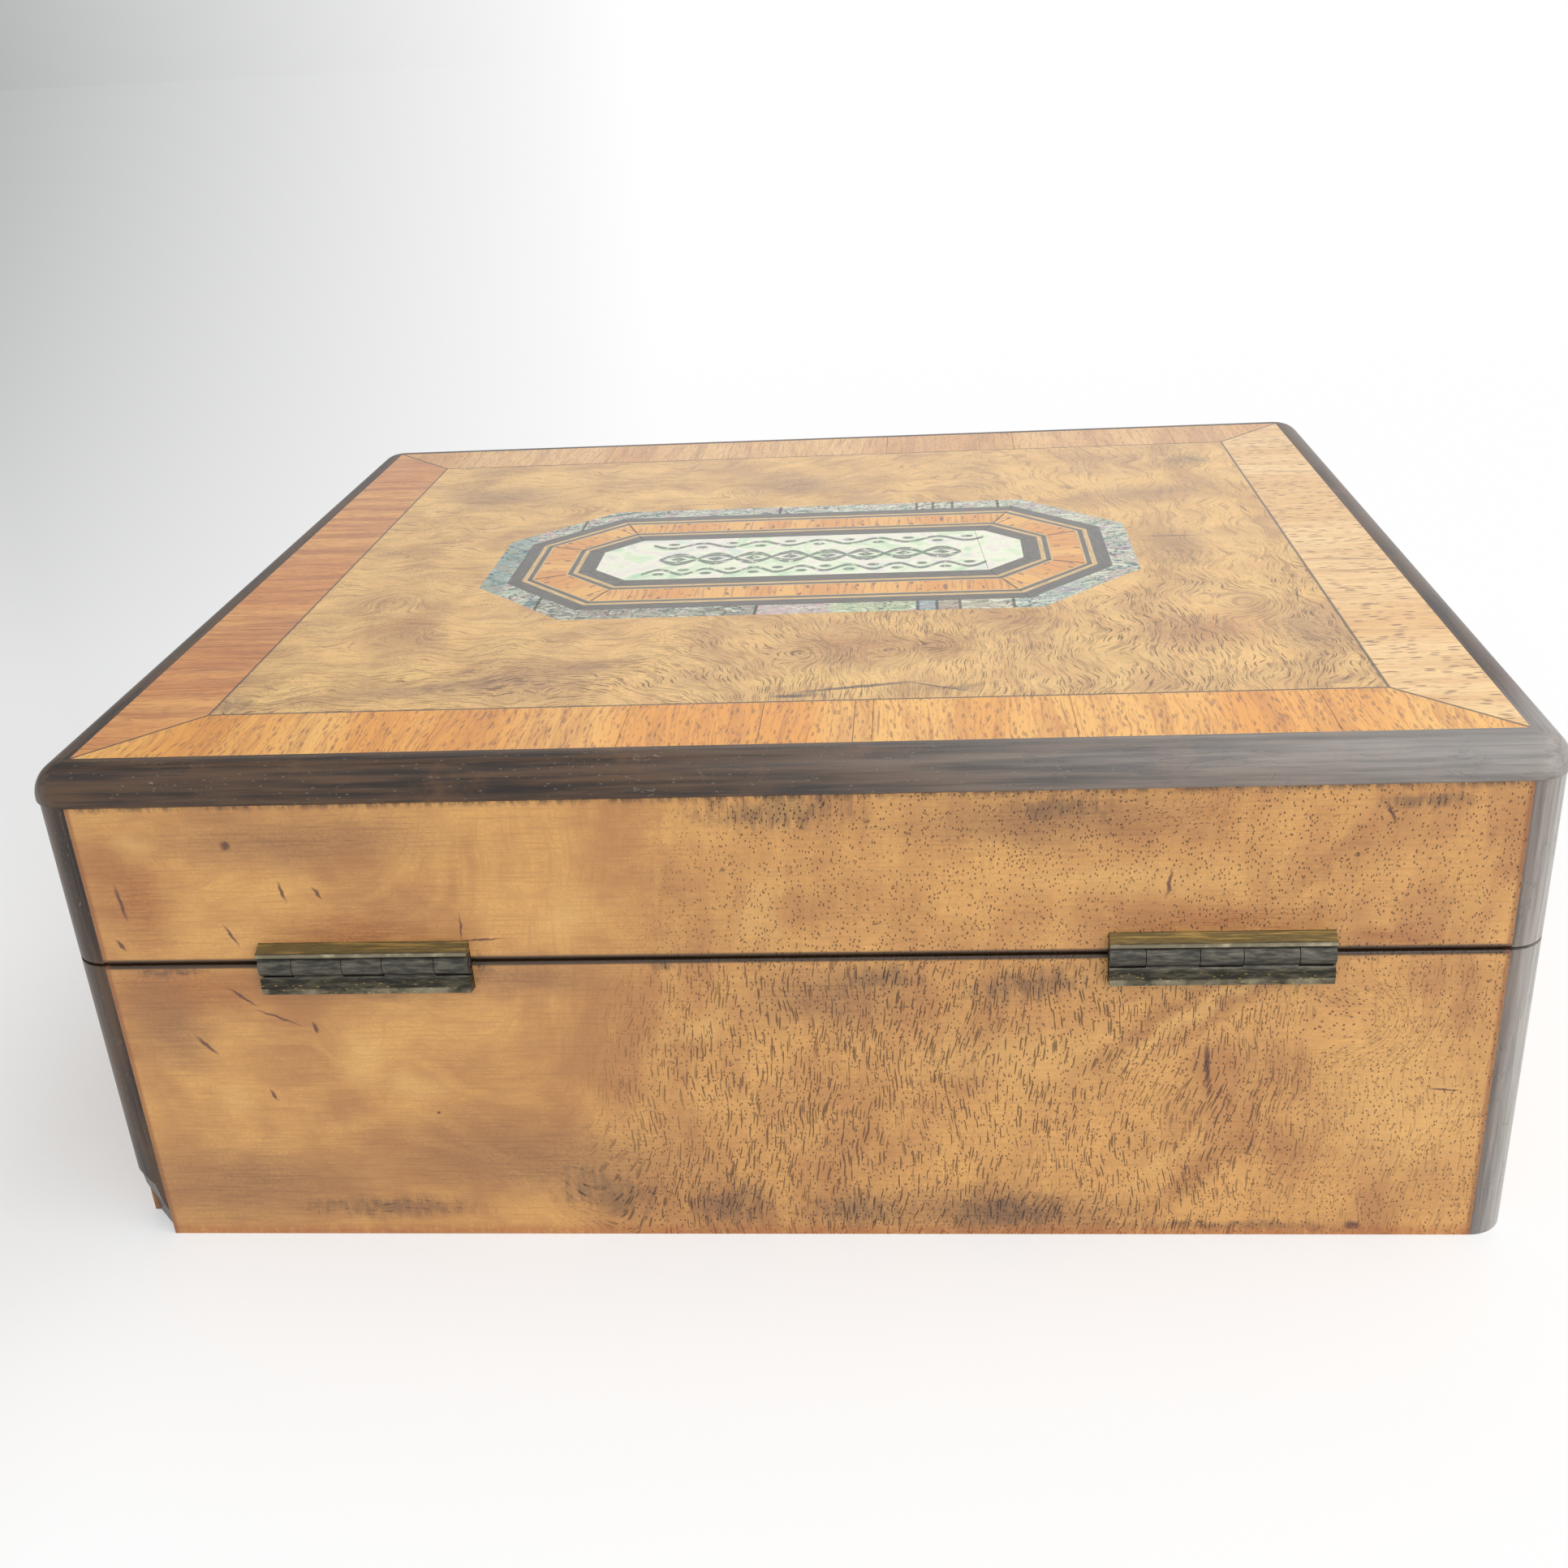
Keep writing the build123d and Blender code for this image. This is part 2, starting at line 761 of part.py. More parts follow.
with BuildPart() as rounded_lid:
    block(
        (-half_width - moulding_proud, half_width + moulding_proud),
        (-half_depth - moulding_proud, half_depth + moulding_proud),
        (moulding_bottom, box_height),
    )
    fillet(rounded_lid.edges().filter_by(Axis.Z), bead_size + moulding_proud)
    chamfer(rounded_lid.faces().sort_by(Axis.Z)[0].edges(), moulding_lip)
    fillet(rounded_lid.faces().sort_by(Axis.Z)[-1].edges(), moulding_round)

for side in sides:
    with BuildPart() as moulding:
        mitred_strip(side, -moulding_proud, moulding_size, (moulding_bottom, box_height))
        add(rounded_lid.part, mode=Mode.INTERSECT)
    save(moulding, "lid_moulding_" + side)

band_inset = moulding_size + crossband_width
for side in sides:
    with BuildPart() as crossband:
        mitred_strip(side, moulding_size, band_inset, (veneer_bed, box_height))
        for at in long_band_joints if side in ("front", "back") else short_band_joints:
            if side in ("front", "back"):
                block(
                    (at - glue_line / 2, at + glue_line / 2),
                    from_face(half_depth, band_inset + 1, sides[side]),
                    (veneer_bed, box_height),
                    mode=Mode.SUBTRACT,
                )
            else:
                block(
                    from_face(half_width, band_inset + 1, sides[side]),
                    (at - glue_line / 2, at + glue_line / 2),
                    (veneer_bed, box_height),
                    mode=Mode.SUBTRACT,
                )
    save(crossband, "crossband_" + side)


# Inlay: every outline is the plaque's octagon, grown by an even width
def octagon(grow):
    x = plaque_length / 2 + grow
    y = plaque_width / 2 + grow
    c = plaque_corner + grow * (2 - math.sqrt(2))
    quarter = [(x, y - c), (x - c, y)]
    points = quarter + [(-px, py) for px, py in reversed(quarter)]
    points += [(-px, -py) for px, py in quarter]
    points += [(px, -py) for px, py in reversed(quarter)]
    return [(px, py + inlay_shift) for px, py in points]


def octagon_band(inner, width):
    with BuildSketch(Plane.XY.offset(veneer_bed)) as band:
        with BuildLine():
            Polyline(*octagon(inner + width), close=True)
        make_face()
        with BuildLine():
            Polyline(*octagon(inner), close=True)
        make_face(mode=Mode.SUBTRACT)
    extrude(band.sketch, amount=veneer_thickness)


def cut_joint(at, angle, length):
    # A joint line through a point, along an angle in degrees from X
    with BuildSketch(Plane.XY.offset(veneer_bed)) as joint:
        with Locations(Location((at[0], at[1], 0), (0, 0, angle))):
            Rectangle(length, glue_line)
    extrude(joint.sketch, amount=veneer_thickness, mode=Mode.SUBTRACT)


def cut_mitres(inner, width):
    # A joint at each of the band's eight corners
    for low, high in zip(octagon(inner), octagon(inner + width)):
        run = (high[0] - low[0], high[1] - low[1])
        middle = ((high[0] + low[0]) / 2, (high[1] + low[1]) / 2)
        angle = math.degrees(math.atan2(run[1], run[0]))
        cut_joint(middle, angle, math.hypot(*run) + 2 * glue_line)


band_starts = {}
reach = 0.0
for band, width in (
    ("inner_ebony", inner_ebony_width),
    ("inner_box", box_line_width),
    ("inner_line", ebony_line_width),
    ("inner_fine", fine_line_width),
    ("kingwood", kingwood_width),
    ("outer_fine", fine_line_width),
    ("outer_line", ebony_line_width),
    ("outer_box", box_line_width),
    ("outer_ebony", outer_ebony_width),
    ("shell", shell_width),
):
    band_starts[band] = (reach, width)
    reach += width
inlay_grow = reach

with BuildPart() as pearl_plaque:
    with BuildSketch(Plane.XY.offset(veneer_bed)):
        with BuildLine():
            Polyline(*octagon(0), close=True)
        make_face()
    extrude(amount=veneer_thickness)
    cut_joint(
        (plaque_crack_x, inlay_shift), 90 + plaque_crack_tilt, plaque_width + 4
    )
save(pearl_plaque, "inlay_pearl_plaque")

for label, bands in {
    "inlay_inner_ebony_band": ("inner_ebony",),
    "inlay_outer_ebony_band": ("outer_ebony",),
    "inlay_boxwood_lines": ("inner_box", "inner_fine", "outer_fine", "outer_box"),
    "inlay_ebony_lines": ("inner_line", "outer_line"),
    "inlay_kingwood_band": ("kingwood",),
}.items():
    with BuildPart() as inlay_band:
        for band in bands:
            octagon_band(*band_starts[band])
        for band in bands:
            cut_mitres(*band_starts[band])
    save(inlay_band, label)

with BuildPart() as shell_border:
    octagon_band(*band_starts["shell"])
    cut_mitres(*band_starts["shell"])
    for x, y, angle in shell_joints:
        cut_joint((x, y + inlay_shift), angle, 2 * shell_width)
save(shell_border, "inlay_shell_border")

panel_x = half_width - band_inset
panel_y = half_depth - band_inset
with BuildPart() as panel_veneer:
    block((-panel_x, panel_x), (-panel_y, panel_y), (veneer_bed, box_height))
    with BuildSketch(Plane.XY.offset(veneer_bed)):
        with BuildLine():
            Polyline(*octagon(inlay_grow), close=True)
        make_face()
    extrude(amount=veneer_thickness, mode=Mode.SUBTRACT)
save(panel_veneer, "lid_panel_veneer")


# Linings: four silk-covered cards in the base and four in the lid, and a pad in each
def wall_linings(z_range):
    for sign in (-1, 1):
        block(
            (-inside_x, inside_x),
            from_face(inside_y, lining_thickness, sign),
            z_range,
        )


def end_linings(z_range):
    room = inside_y - lining_thickness - lining_fit
    for sign in (-1, 1):
        block(from_face(inside_x, lining_thickness, sign), (-room, room), z_range)


base_lining_span = (bottom_thickness, base_height - lining_drop)
lid_lining_span = (lid_rim + lining_drop, top_underside)
with BuildPart() as base_linings:
    wall_linings(base_lining_span)
    end_linings(base_lining_span)
    block(
        (-lock_width / 2 - lining_lock_room, lock_width / 2 + lining_lock_room),
        (-inside_y, -inside_y + lining_thickness),
        (base_height - lock_height - lining_lock_room, base_height),
        mode=Mode.SUBTRACT,
    )
save(base_linings, "base_wall_linings")

with BuildPart() as lid_linings:
    wall_linings(lid_lining_span)
    end_linings(lid_lining_span)
save(lid_linings, "lid_wall_linings")

pad_x = inside_x - lining_thickness - pad_clearance
pad_y = inside_y - lining_thickness - pad_clearance
with BuildPart() as floor_pad:
    pad_top = bottom_thickness + floor_pad_thickness
    block((-pad_x, pad_x), (-pad_y, pad_y), (bottom_thickness, pad_top))
    fillet(floor_pad.edges().filter_by(Axis.Z), pad_rounding)
    fillet(floor_pad.faces().sort_by(Axis.Z)[-1].edges(), pad_rounding)
save(floor_pad, "base_floor_pad")

with BuildPart() as lid_pad:
    block((-pad_x, pad_x), (-pad_y, pad_y), (top_underside - lid_pad_thickness, top_underside))
    fillet(lid_pad.edges().filter_by(Axis.Z), pad_rounding)
    fillet(lid_pad.faces().sort_by(Axis.Z)[0].edges(), pad_rounding)
save(lid_pad, "lid_pad")
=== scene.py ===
import math
import bpy
from mathutils import Matrix, Vector, noise


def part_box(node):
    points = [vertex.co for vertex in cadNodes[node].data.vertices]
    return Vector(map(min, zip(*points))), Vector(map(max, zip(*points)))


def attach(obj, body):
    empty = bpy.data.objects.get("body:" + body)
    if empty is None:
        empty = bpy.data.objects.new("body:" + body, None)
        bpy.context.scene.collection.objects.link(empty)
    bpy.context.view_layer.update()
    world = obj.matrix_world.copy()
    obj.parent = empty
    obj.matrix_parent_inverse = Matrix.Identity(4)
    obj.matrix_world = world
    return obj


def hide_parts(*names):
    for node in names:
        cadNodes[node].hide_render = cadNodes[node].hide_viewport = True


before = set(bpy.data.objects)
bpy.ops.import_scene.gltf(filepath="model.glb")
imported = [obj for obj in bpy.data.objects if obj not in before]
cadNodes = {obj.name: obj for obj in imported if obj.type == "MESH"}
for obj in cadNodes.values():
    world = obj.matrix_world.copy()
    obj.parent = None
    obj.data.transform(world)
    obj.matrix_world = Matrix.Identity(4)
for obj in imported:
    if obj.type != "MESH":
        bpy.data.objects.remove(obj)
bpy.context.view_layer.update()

mm = 0.001
perMm = 1000.0


# A shader socket that can be used in plain sums
class Wire:
    def __init__(self, nodes, socket):
        self.nodes = nodes
        self.socket = socket

    def __add__(self, other):
        return self.nodes.maths("ADD", self, other)

    __radd__ = __add__

    def __sub__(self, other):
        return self.nodes.maths("SUBTRACT", self, other)

    def __rsub__(self, other):
        return self.nodes.maths("SUBTRACT", other, self)

    def __mul__(self, other):
        return self.nodes.maths("MULTIPLY", self, other)

    __rmul__ = __mul__

    def __truediv__(self, other):
        return self.nodes.maths("DIVIDE", self, other)

    def __abs__(self):
        return self.nodes.maths("ABSOLUTE", self)

    def sine(self):
        return self.nodes.maths("SINE", self)

    def most(self, *others):
        result = self
        for other in others:
            result = self.nodes.maths("MAXIMUM", result, other)
        return result

    def least(self, other):
        return self.nodes.maths("MINIMUM", self, other)

    # 0 below low, 1 above high, with soft ends
    def rise(self, low, high):
        settings = {"interpolation_type": "SMOOTHSTEP"}
        return self.nodes.wire("ShaderNodeMapRange", settings, {0: self, 1: low, 2: high})

    def fall(self, low, high):
        return 1 - self.rise(low, high)

    # Distance to the nearest of the points that repeat at every step
    def repeat(self, step, start=0.0):
        return abs(self.nodes.maths("PINGPONG", self - start, step / 2))


# A node tree, and the few kinds of step that the finishes here are made of
class Nodes:
    # so far away that the noise there has nothing to do with the noise here
    elsewhere = (91.0, 47.0, 0.0)
    # the share of a fleck's reach that is its solid core
    fleckCore = 0.62

    def __init__(self, tree):
        self.tree = tree
        tree.nodes.clear()

    def node(self, kind, settings, sockets):
        node = self.tree.nodes.new(kind)
        for key, value in settings.items():
            if key == "stops":
                self.setStops(node.color_ramp, value)
            else:
                setattr(node, key, value)
        for key, value in sockets.items():
            if isinstance(value, Wire):
                self.tree.links.new(value.socket, node.inputs[key])
            else:
                node.inputs[key].default_value = value
        return node

    def setStops(self, ramp, stops):
        while len(ramp.elements) < len(stops):
            ramp.elements.new(0.5)
        for element, (place, colour) in zip(ramp.elements, stops):
            element.position = place
            element.color = (*colour, 1.0)

    # A new node's output
    def wire(self, kind, settings, sockets, output=0):
        return Wire(self, self.node(kind, settings, sockets).outputs[output])

    def maths(self, operation, *values):
        return self.wire("ShaderNodeMath", {"operation": operation}, dict(enumerate(values)))

    def vector(self, x, y, z=0.0):
        return self.wire("ShaderNodeCombineXYZ", {}, {0: x, 1: y, 2: z})

    def parts(self, vector):
        split = self.node("ShaderNodeSeparateXYZ", {}, {0: vector})
        return [Wire(self, split.outputs[i]) for i in range(3)]

    def shifted(self, vector, by):
        return self.wire("ShaderNodeVectorMath", {"operation": "ADD"}, {0: vector, 1: by})

    # Where a point is on the object, in millimetres
    def place(self):
        at = self.wire("ShaderNodeTexCoord", {}, {}, "Object")
        settings = {"operation": "SCALE"}
        return self.parts(self.wire("ShaderNodeVectorMath", settings, {0: at, "Scale": perMm}))

    def noise(self, vector, scale=1.0, detail=2.0, roughness=0.5, warp=0.0):
        return self.wire(
            "ShaderNodeTexNoise",
            {},
            {"Vector": vector, "Scale": scale, "Detail": detail, "Roughness": roughness,
             "Distortion": warp},
        )

    # Small marks, one in each cell: 1 at the middle of a mark, 0 away from it
    def flecks(self, vector, reach):
        sockets = {"Vector": vector, "Scale": 1.0}
        away = self.wire("ShaderNodeTexVoronoi", {"feature": "F1"}, sockets, "Distance")
        return away.fall(reach * self.fleckCore, reach)

    # The vector, moved about by noise of the given scale and reach
    def wobble(self, vector, scale, reach):
        aside = (self.noise(vector, scale) - 0.5) * (reach * 2)
        up = (self.noise(self.shifted(vector, self.elsewhere), scale) - 0.5) * (reach * 2)
        return self.shifted(vector, self.vector(aside, up))

    # How far a point is from an oval's middle, where 1 is its rim. The turn is in degrees.
    def oval(self, vector, middle, half, turn=0.0):
        seen = self.wire(
            "ShaderNodeMapping",
            {"vector_type": "TEXTURE"},
            {"Vector": vector, "Location": (*middle, 0.0),
             "Rotation": (0.0, 0.0, math.radians(turn)), "Scale": (*half, 1.0)},
        )
        return self.wire("ShaderNodeVectorMath", {"operation": "LENGTH"}, {0: seen}, "Value")

    # Soft spots: 1 inside the core of any of the ovals, 0 outside all of them
    def ovals(self, vector, marks, core=0.0):
        away = self.oval(vector, *marks[0])
        for mark in marks[1:]:
            away = away.least(self.oval(vector, *mark))
        return away.fall(core, 1.0)

    # A mix node's colours are its sockets 6 and 7, and its output 2
    def blend(self, amount, first, second):
        pair = [c if isinstance(c, Wire) else (*c, 1.0) for c in (first, second)]
        sockets = {0: amount, 6: pair[0], 7: pair[1]}
        return self.wire("ShaderNodeMix", {"data_type": "RGBA"}, sockets, 2)

    def ramp(self, value, stops, interpolation="LINEAR"):
        node = self.node("ShaderNodeValToRGB", {"stops": stops}, {0: value})
        node.color_ramp.interpolation = interpolation
        return Wire(self, node.outputs[0])

    def relief(self, height, depth):
        sockets = {"Height": height, "Strength": 1.0, "Distance": depth}
        return self.wire("ShaderNodeBump", {}, sockets)


# One material on a principled surface
class Finish(Nodes):
    def __init__(self, name, **settings):
        self.material = bpy.data.materials.new(name)
        self.material.use_nodes = True
        super().__init__(self.material.node_tree)
        self.surface = self.node("ShaderNodeBsdfPrincipled", {}, settings)
        seen = Wire(self, self.surface.outputs[0])
        self.output = self.node("ShaderNodeOutputMaterial", {}, {"Surface": seen})

    def finishWith(self, colour, roughness, normal, metal=None):
        wanted = {"Base Color": colour, "Roughness": roughness, "Normal": normal, "Metallic": metal}
        for name, value in wanted.items():
            if value is not None:
                self.tree.links.new(value.socket, self.surface.inputs[name])
        return self.material


def dress(material, *names):
    for name in names:
        cadNodes[name].material_slots[0].material = material


# Old polish over wood, glossier on the lid's top than on the sides
polish = {"side": 0.15, "top": 0.5, "coatRoughness": 0.2}


def polishedWood(name, where="top"):
    return Finish(name, **{"Coat Weight": polish[where], "Coat Roughness": polish["coatRoughness"]})


# Half sizes of the lid's panel in millimetres, its rim, and the glue lines round it and in the
# mitres
panelJoint = {"halfLength": 81.2, "halfDepth": 65.2, "rim": (-0.3, -0.05), "line": (0.1, 0.3)}
# Where the veneers darken, in millimetres: heights on the box, and reaches from an edge. Beside the
# parting gap this is painted shade; under the moulding, at the foot, at the ends and in the glue
# lines it is grime and joints
grimeAndShade = {
    "tone": (0.022, 0.014, 0.01),
    "partingHeight": 47.25,
    "partingShadeReach": (0.5, 1.0),
    "underMoulding": (70.2, 71.8),
    "foot": (0.4, 2.4),
    "endReach": (0.9, 0.3),
    "endTone": (0.22, 0.07, 0.028),
}
# Marks that follow the grain: scales per millimetre across it and along it, and a start
walnutGrain = {
    "streak": (1.7, 0.12),
    "ripple": (0.3, 0.06),
    "dash": (3.3, 0.24),
    "dot": (2.2, 1.3, 5.0),
    "curl": (1.8, 0.14),
}
poreReach = {"dash": 0.33, "dot": 0.28, "curl": 0.25}


# Figured walnut. The grain runs along the contours of a height over the face, which rises
# across the face, wanders, and has a hill at each burr eye.
def walnutVeneer(name, look):
    f = polishedWood(name, "top" if look["face"] == "top" else "side")
    x, y, z = f.place()
    u, v = {"back": (x, z), "side": (y, z), "top": (x, y)}[look["face"]]
    flat = f.vector(u, v)
    soft = f.wobble(flat, 0.3, 1.6)
    broad = f.noise(flat, 1 / look["patchSize"], 4.0, 0.6, 0.3)
    wander = f.noise(flat, 1 / look["wanderSize"], 2.0, 0.4)
    crosswise = look["crosswise"](u, v)
    height = u * crosswise + v * (1 - crosswise) + wander * look["wander"]
    height = height + f.ovals(flat, look["eyes"]) * look["eyeHeight"]

    def drawnOut(across, along, start=0.0):
        first = height * across
        return f.vector(first + start if start else first, u * along, v * along)

    streak = f.noise(drawnOut(*walnutGrain["streak"]), 1.0, 3.0, 0.65)
    ripple = f.noise(drawnOut(*walnutGrain["ripple"]), 1.0, 2.0, 0.5)
    colour = f.blend(broad.rise(0.34, 0.66), look["dark"], look["light"])
    colour = f.blend(ripple.rise(0.45, 0.65) * look["rippling"], colour, look["golden"])
    fibre = f.noise(f.vector(u * 0.1, v * 2.4), 1.0, 3.0, 0.7).fall(0.36, 0.56)
    grit = f.noise(flat, 1.7, 3.0, 0.8).fall(0.38, 0.56)
    torn = 0.2 + broad * 1.1 + fibre * 0.25 + grit * 0.2
    drift = f.wobble(soft, 0.1, 2.5)
    for tone, amount, marks in look["clouds"]:
        cloud = f.ovals(drift, marks) * torn
        colour = f.blend(cloud * amount, colour, tone)
    mottle = f.noise(flat, 0.22, 3.0, 0.6).rise(0.45, 0.7)
    lines = streak.fall(*look["lineEdge"]) * look["lineWeight"]
    shade = lines.most(fibre * look["fibre"], grit * look["grit"])
    colour = f.blend(shade.most(mottle * 0.22), colour, look["lineTone"])

    grime = f.noise(f.vector(u * 0.9, v * 0.3), 1.0, 4.0, 0.7)
    stain = (f.ovals(soft, look["stains"]) * 0.95 + grime * 2.0 - 1.2).rise(0.0, 0.9)
    dashes, dots, curls = look["pores"](f, u, v)
    worn = stain * 0.9
    dash, dot, curl = [
        f.flecks(drawnOut(*walnutGrain[kind]), reach) for kind, reach in poreReach.items()
    ]
    pits = (dash * dashes).most(dot * dots, curl * curls)
    pores = pits.most(dash * worn, curl * worn * 0.6)
    colour = f.blend(stain * 0.52, colour, look["stainTone"])
    colour = f.blend(pores * (0.72 + stain * 0.28), colour, look["poreTone"])
    crack = f.ovals(f.wobble(flat, 0.8, 0.35), look["cracks"], 0.3)
    colour = f.blend(crack * 0.85, colour, look["crackTone"])

    if look["face"] == "top":
        outX, outY = abs(x) - panelJoint["halfLength"], abs(y) - panelJoint["halfDepth"]
        edge = outX.most(outY).rise(*panelJoint["rim"])
        colour = f.blend(edge * 0.8, colour, grimeAndShade["tone"])
    else:
        # painted shade: the veneer darkens along the gap between lid and base
        parting = abs(z - grimeAndShade["partingHeight"]).fall(*grimeAndShade["partingShadeReach"])
        colour = f.blend(parting * 0.95, colour, grimeAndShade["tone"])
        under = z.rise(*grimeAndShade["underMoulding"]) * grime.rise(0.4, 0.6)
        colour = f.blend(under * 0.8, colour, grimeAndShade["tone"])
        foot = z.fall(*grimeAndShade["foot"]) * grime.rise(0.3, 0.55)
        colour = f.blend(foot * 0.6, colour, look["footTone"])
        ends = abs(u).rise(*[look["ends"] - reach for reach in grimeAndShade["endReach"]])
        colour = f.blend(ends * 0.6, colour, grimeAndShade["endTone"])
    haze = f.noise(flat, 0.06, 3.0, 0.6)
    roughness = 0.36 + haze * 0.16 + pores * 0.2
    relief = f.relief(1 - pits - fibre * 0.2 - grit * 0.2, 0.1 * mm)
    return f.finishWith(colour, roughness, relief)


# How much the grain runs up and down the back, and where its pores are long, round or curled
def acrossBack(u, v):
    return (v * 0.2 - u).rise(-52.0, -16.0) * 0.92


curlyBack = [((0.0, 20.0), (36.0, 26.0), -15.0), ((-62.0, 20.0), (16.0, 20.0))]


def poresOfBack(f, u, v):
    clump = f.noise(f.vector(u, v), 0.075, 2.0, 0.5)
    base = v.fall(44.0, 50.0)
    right = (u + v * 0.3).fall(20.0, 44.0)
    far = u.fall(-72.0, -56.0)
    dashes = right * base * clump.rise(0.2, 0.5) * (1 - far * 0.6)
    dots = (right * clump.rise(0.2, 0.44)).most(right * base * 0.5)
    curls = f.ovals(f.vector(u, v), curlyBack, 0.2)
    return dashes, dots, curls * clump.rise(0.15, 0.4)


def acrossTop(u, v):
    return (v * 0.2 - u).rise(-20.0, 50.0)


def poresOfTop(f, u, v):
    clump = f.noise(f.vector(u, v), 0.08, 2.0, 0.5)
    near = (v - u * 0.3).rise(10.0, 48.0)
    dashes = near * clump.rise(0.3, 0.52)
    return dashes, clump.rise(0.44, 0.6) * 0.6, near * clump.rise(0.46, 0.62)


def acrossSide(u, v):
    return (u + v * 0.3).rise(-40.0, 60.0)


def poresOfSide(f, u, v):
    clump = f.noise(f.vector(u, v), 0.06, 2.0, 0.5)
    return clump.rise(0.4, 0.6), clump.rise(0.36, 0.52) * 0.8, clump.rise(0.5, 0.66)


# Clouds are groups of ovals: a tone, its weight, then each oval's middle, half sizes and turn
walnutBack = {
    "face": "back",
    "patchSize": 24.0,
    "wanderSize": 20.0,
    "wander": 7.0,
    "crosswise": acrossBack,
    "pores": poresOfBack,
    "dark": (0.50, 0.23, 0.075),
    "light": (0.74, 0.39, 0.12),
    "golden": (0.83, 0.46, 0.135),
    "rippling": 0.3,
    "lineTone": (0.27, 0.115, 0.045),
    "lineWeight": 0.22,
    "lineEdge": (0.36, 0.52),
    "fibre": 0.28,
    "grit": 0.2,
    "poreTone": (0.06, 0.024, 0.013),
    "eyes": [
        ((81.5, 61.0), (10.0, 9.0)), ((-50.4, 70.6), (9.0, 6.0)), ((60.0, 32.5), (9.0, 8.0)),
        ((-78.0, 36.0), (10.0, 9.0)),
    ],
    "eyeHeight": 7.0,
    "clouds": [
        # warm red-brown above the hinges and at the left under the parting line
        ((0.38, 0.135, 0.04), 0.85, [
            ((58.0, 52.0), (19.0, 4.4)), ((-57.0, 52.0), (21.0, 4.4)),
            ((84.0, 43.0), (20.0, 7.0)), ((88.0, 58.0), (9.0, 14.0)), ((-79.0, 49.0), (9.0, 3.0)),
        ]),
        # dull brown smudges; the last two are a darker band just under each hinge
        ((0.29, 0.14, 0.06), 0.8, [
            ((-6.0, 41.0), (17.0, 8.0)), ((36.0, 44.5), (16.0, 5.0)), ((64.0, 66.0), (30.0, 6.0)),
            ((-34.0, 67.0), (28.0, 6.0)), ((80.0, 9.0), (34.0, 12.0)),
            ((40.0, 14.0), (36.0, 11.0)), ((-28.0, 4.0), (30.0, 7.0)),
            ((88.0, 38.0), (9.0, 12.0)), ((57.5, 43.5), (17.0, 2.6)),
            ((-57.5, 43.8), (18.0, 2.8)),
        ]),
        # golden lights
        ((0.80, 0.46, 0.15), 0.8, [
            ((60.5, 31.5), (5.0, 7.5), 25.0), ((54.0, 27.0), (6.0, 4.0)),
            ((3.0, 54.0), (5.0, 9.0), 25.0), ((29.0, 54.0), (4.5, 7.0), 30.0),
            ((13.0, 36.0), (8.0, 3.0), -10.0), ((79.5, 24.5), (5.0, 3.0)),
            ((-30.0, 31.0), (22.0, 8.0)), ((-84.0, 22.0), (18.0, 18.0)),
            ((-45.0, 58.5), (24.0, 4.0)), ((86.0, 66.0), (5.0, 4.0)),
        ]),
        # slanting stripes at the right of the base, dark and light
        ((0.40, 0.17, 0.055), 0.7, [
            ((-49.0, 36.0), (3.0, 20.0), 52.0), ((-58.0, 38.0), (2.6, 18.0), 52.0),
            ((-56.0, 11.0), (3.4, 16.0), 45.0), ((-72.0, 62.0), (3.0, 18.0), 48.0),
        ]),
        ((0.82, 0.48, 0.155), 0.6, [
            ((-54.0, 37.0), (2.2, 18.0), 52.0), ((-50.0, 12.0), (2.2, 14.0), 45.0),
        ]),
    ],
    "stains": [
        ((60.0, 5.0), (22.0, 3.6)), ((28.0, 7.5), (16.0, 8.0), 14.0), ((10.0, 5.5), (12.0, 8.5)),
        ((-8.0, 4.5), (13.0, 6.0)), ((-30.0, 4.0), (17.0, 6.0)),
        ((-32.0, 42.4), (17.0, 5.0), -8.0), ((-13.0, 44.0), (10.0, 4.6)),
        ((16.5, 46.0), (5.0, 2.2)), ((0.0, 69.0), (21.0, 5.0)), ((-36.0, 69.0), (12.0, 2.8)),
        ((-82.0, 69.0), (12.0, 2.4)), ((-60.0, 1.6), (36.0, 1.8)), ((41.6, 46.5), (2.2, 4.5)),
        ((-75.0, 47.5), (6.0, 2.0)), ((85.0, 46.0), (10.0, 1.8)),
    ],
    "stainTone": (0.062, 0.042, 0.035),
    "footTone": (0.42, 0.13, 0.035),
    "cracks": [
        ((90.0, 57.0), (0.42, 3.6), -6.0), ((67.3, 58.5), (0.38, 2.0), -12.0),
        ((62.5, 58.2), (0.36, 1.4), -30.0), ((91.5, 50.4), (0.4, 1.4), -35.0),
        ((82.7, 33.8), (0.42, 2.7), -40.0), ((74.6, 25.2), (0.36, 1.5), -24.0),
        ((66.5, 36.6), (0.4, 1.3), -14.0), ((76.0, 41.8), (0.28, 3.2), -50.0),
        ((71.5, 38.4), (0.24, 4.4), -66.0), ((75.6, 51.8), (0.26, 2.4), -25.0),
        ((41.0, 50.6), (0.22, 4.0), 88.0), ((43.6, 52.6), (0.2, 2.6), 4.0),
        ((-56.6, 29.5), (0.5, 5.0), -4.0), ((-58.6, 25.0), (0.3, 2.0), 20.0),
        ((-50.4, 57.8), (0.34, 2.8), 8.0), ((-77.6, 67.4), (0.3, 2.2), -25.0),
        ((-88.5, 25.0), (0.24, 3.0), -84.0), ((-78.2, 1.6), (1.6, 1.0), 0.0),
        ((73.7, 65.6), (0.9, 0.9), 0.0), ((51.0, 22.0), (0.4, 0.4), 0.0),
    ],
    "crackTone": (0.09, 0.03, 0.025),
    "ends": 94.6,
}
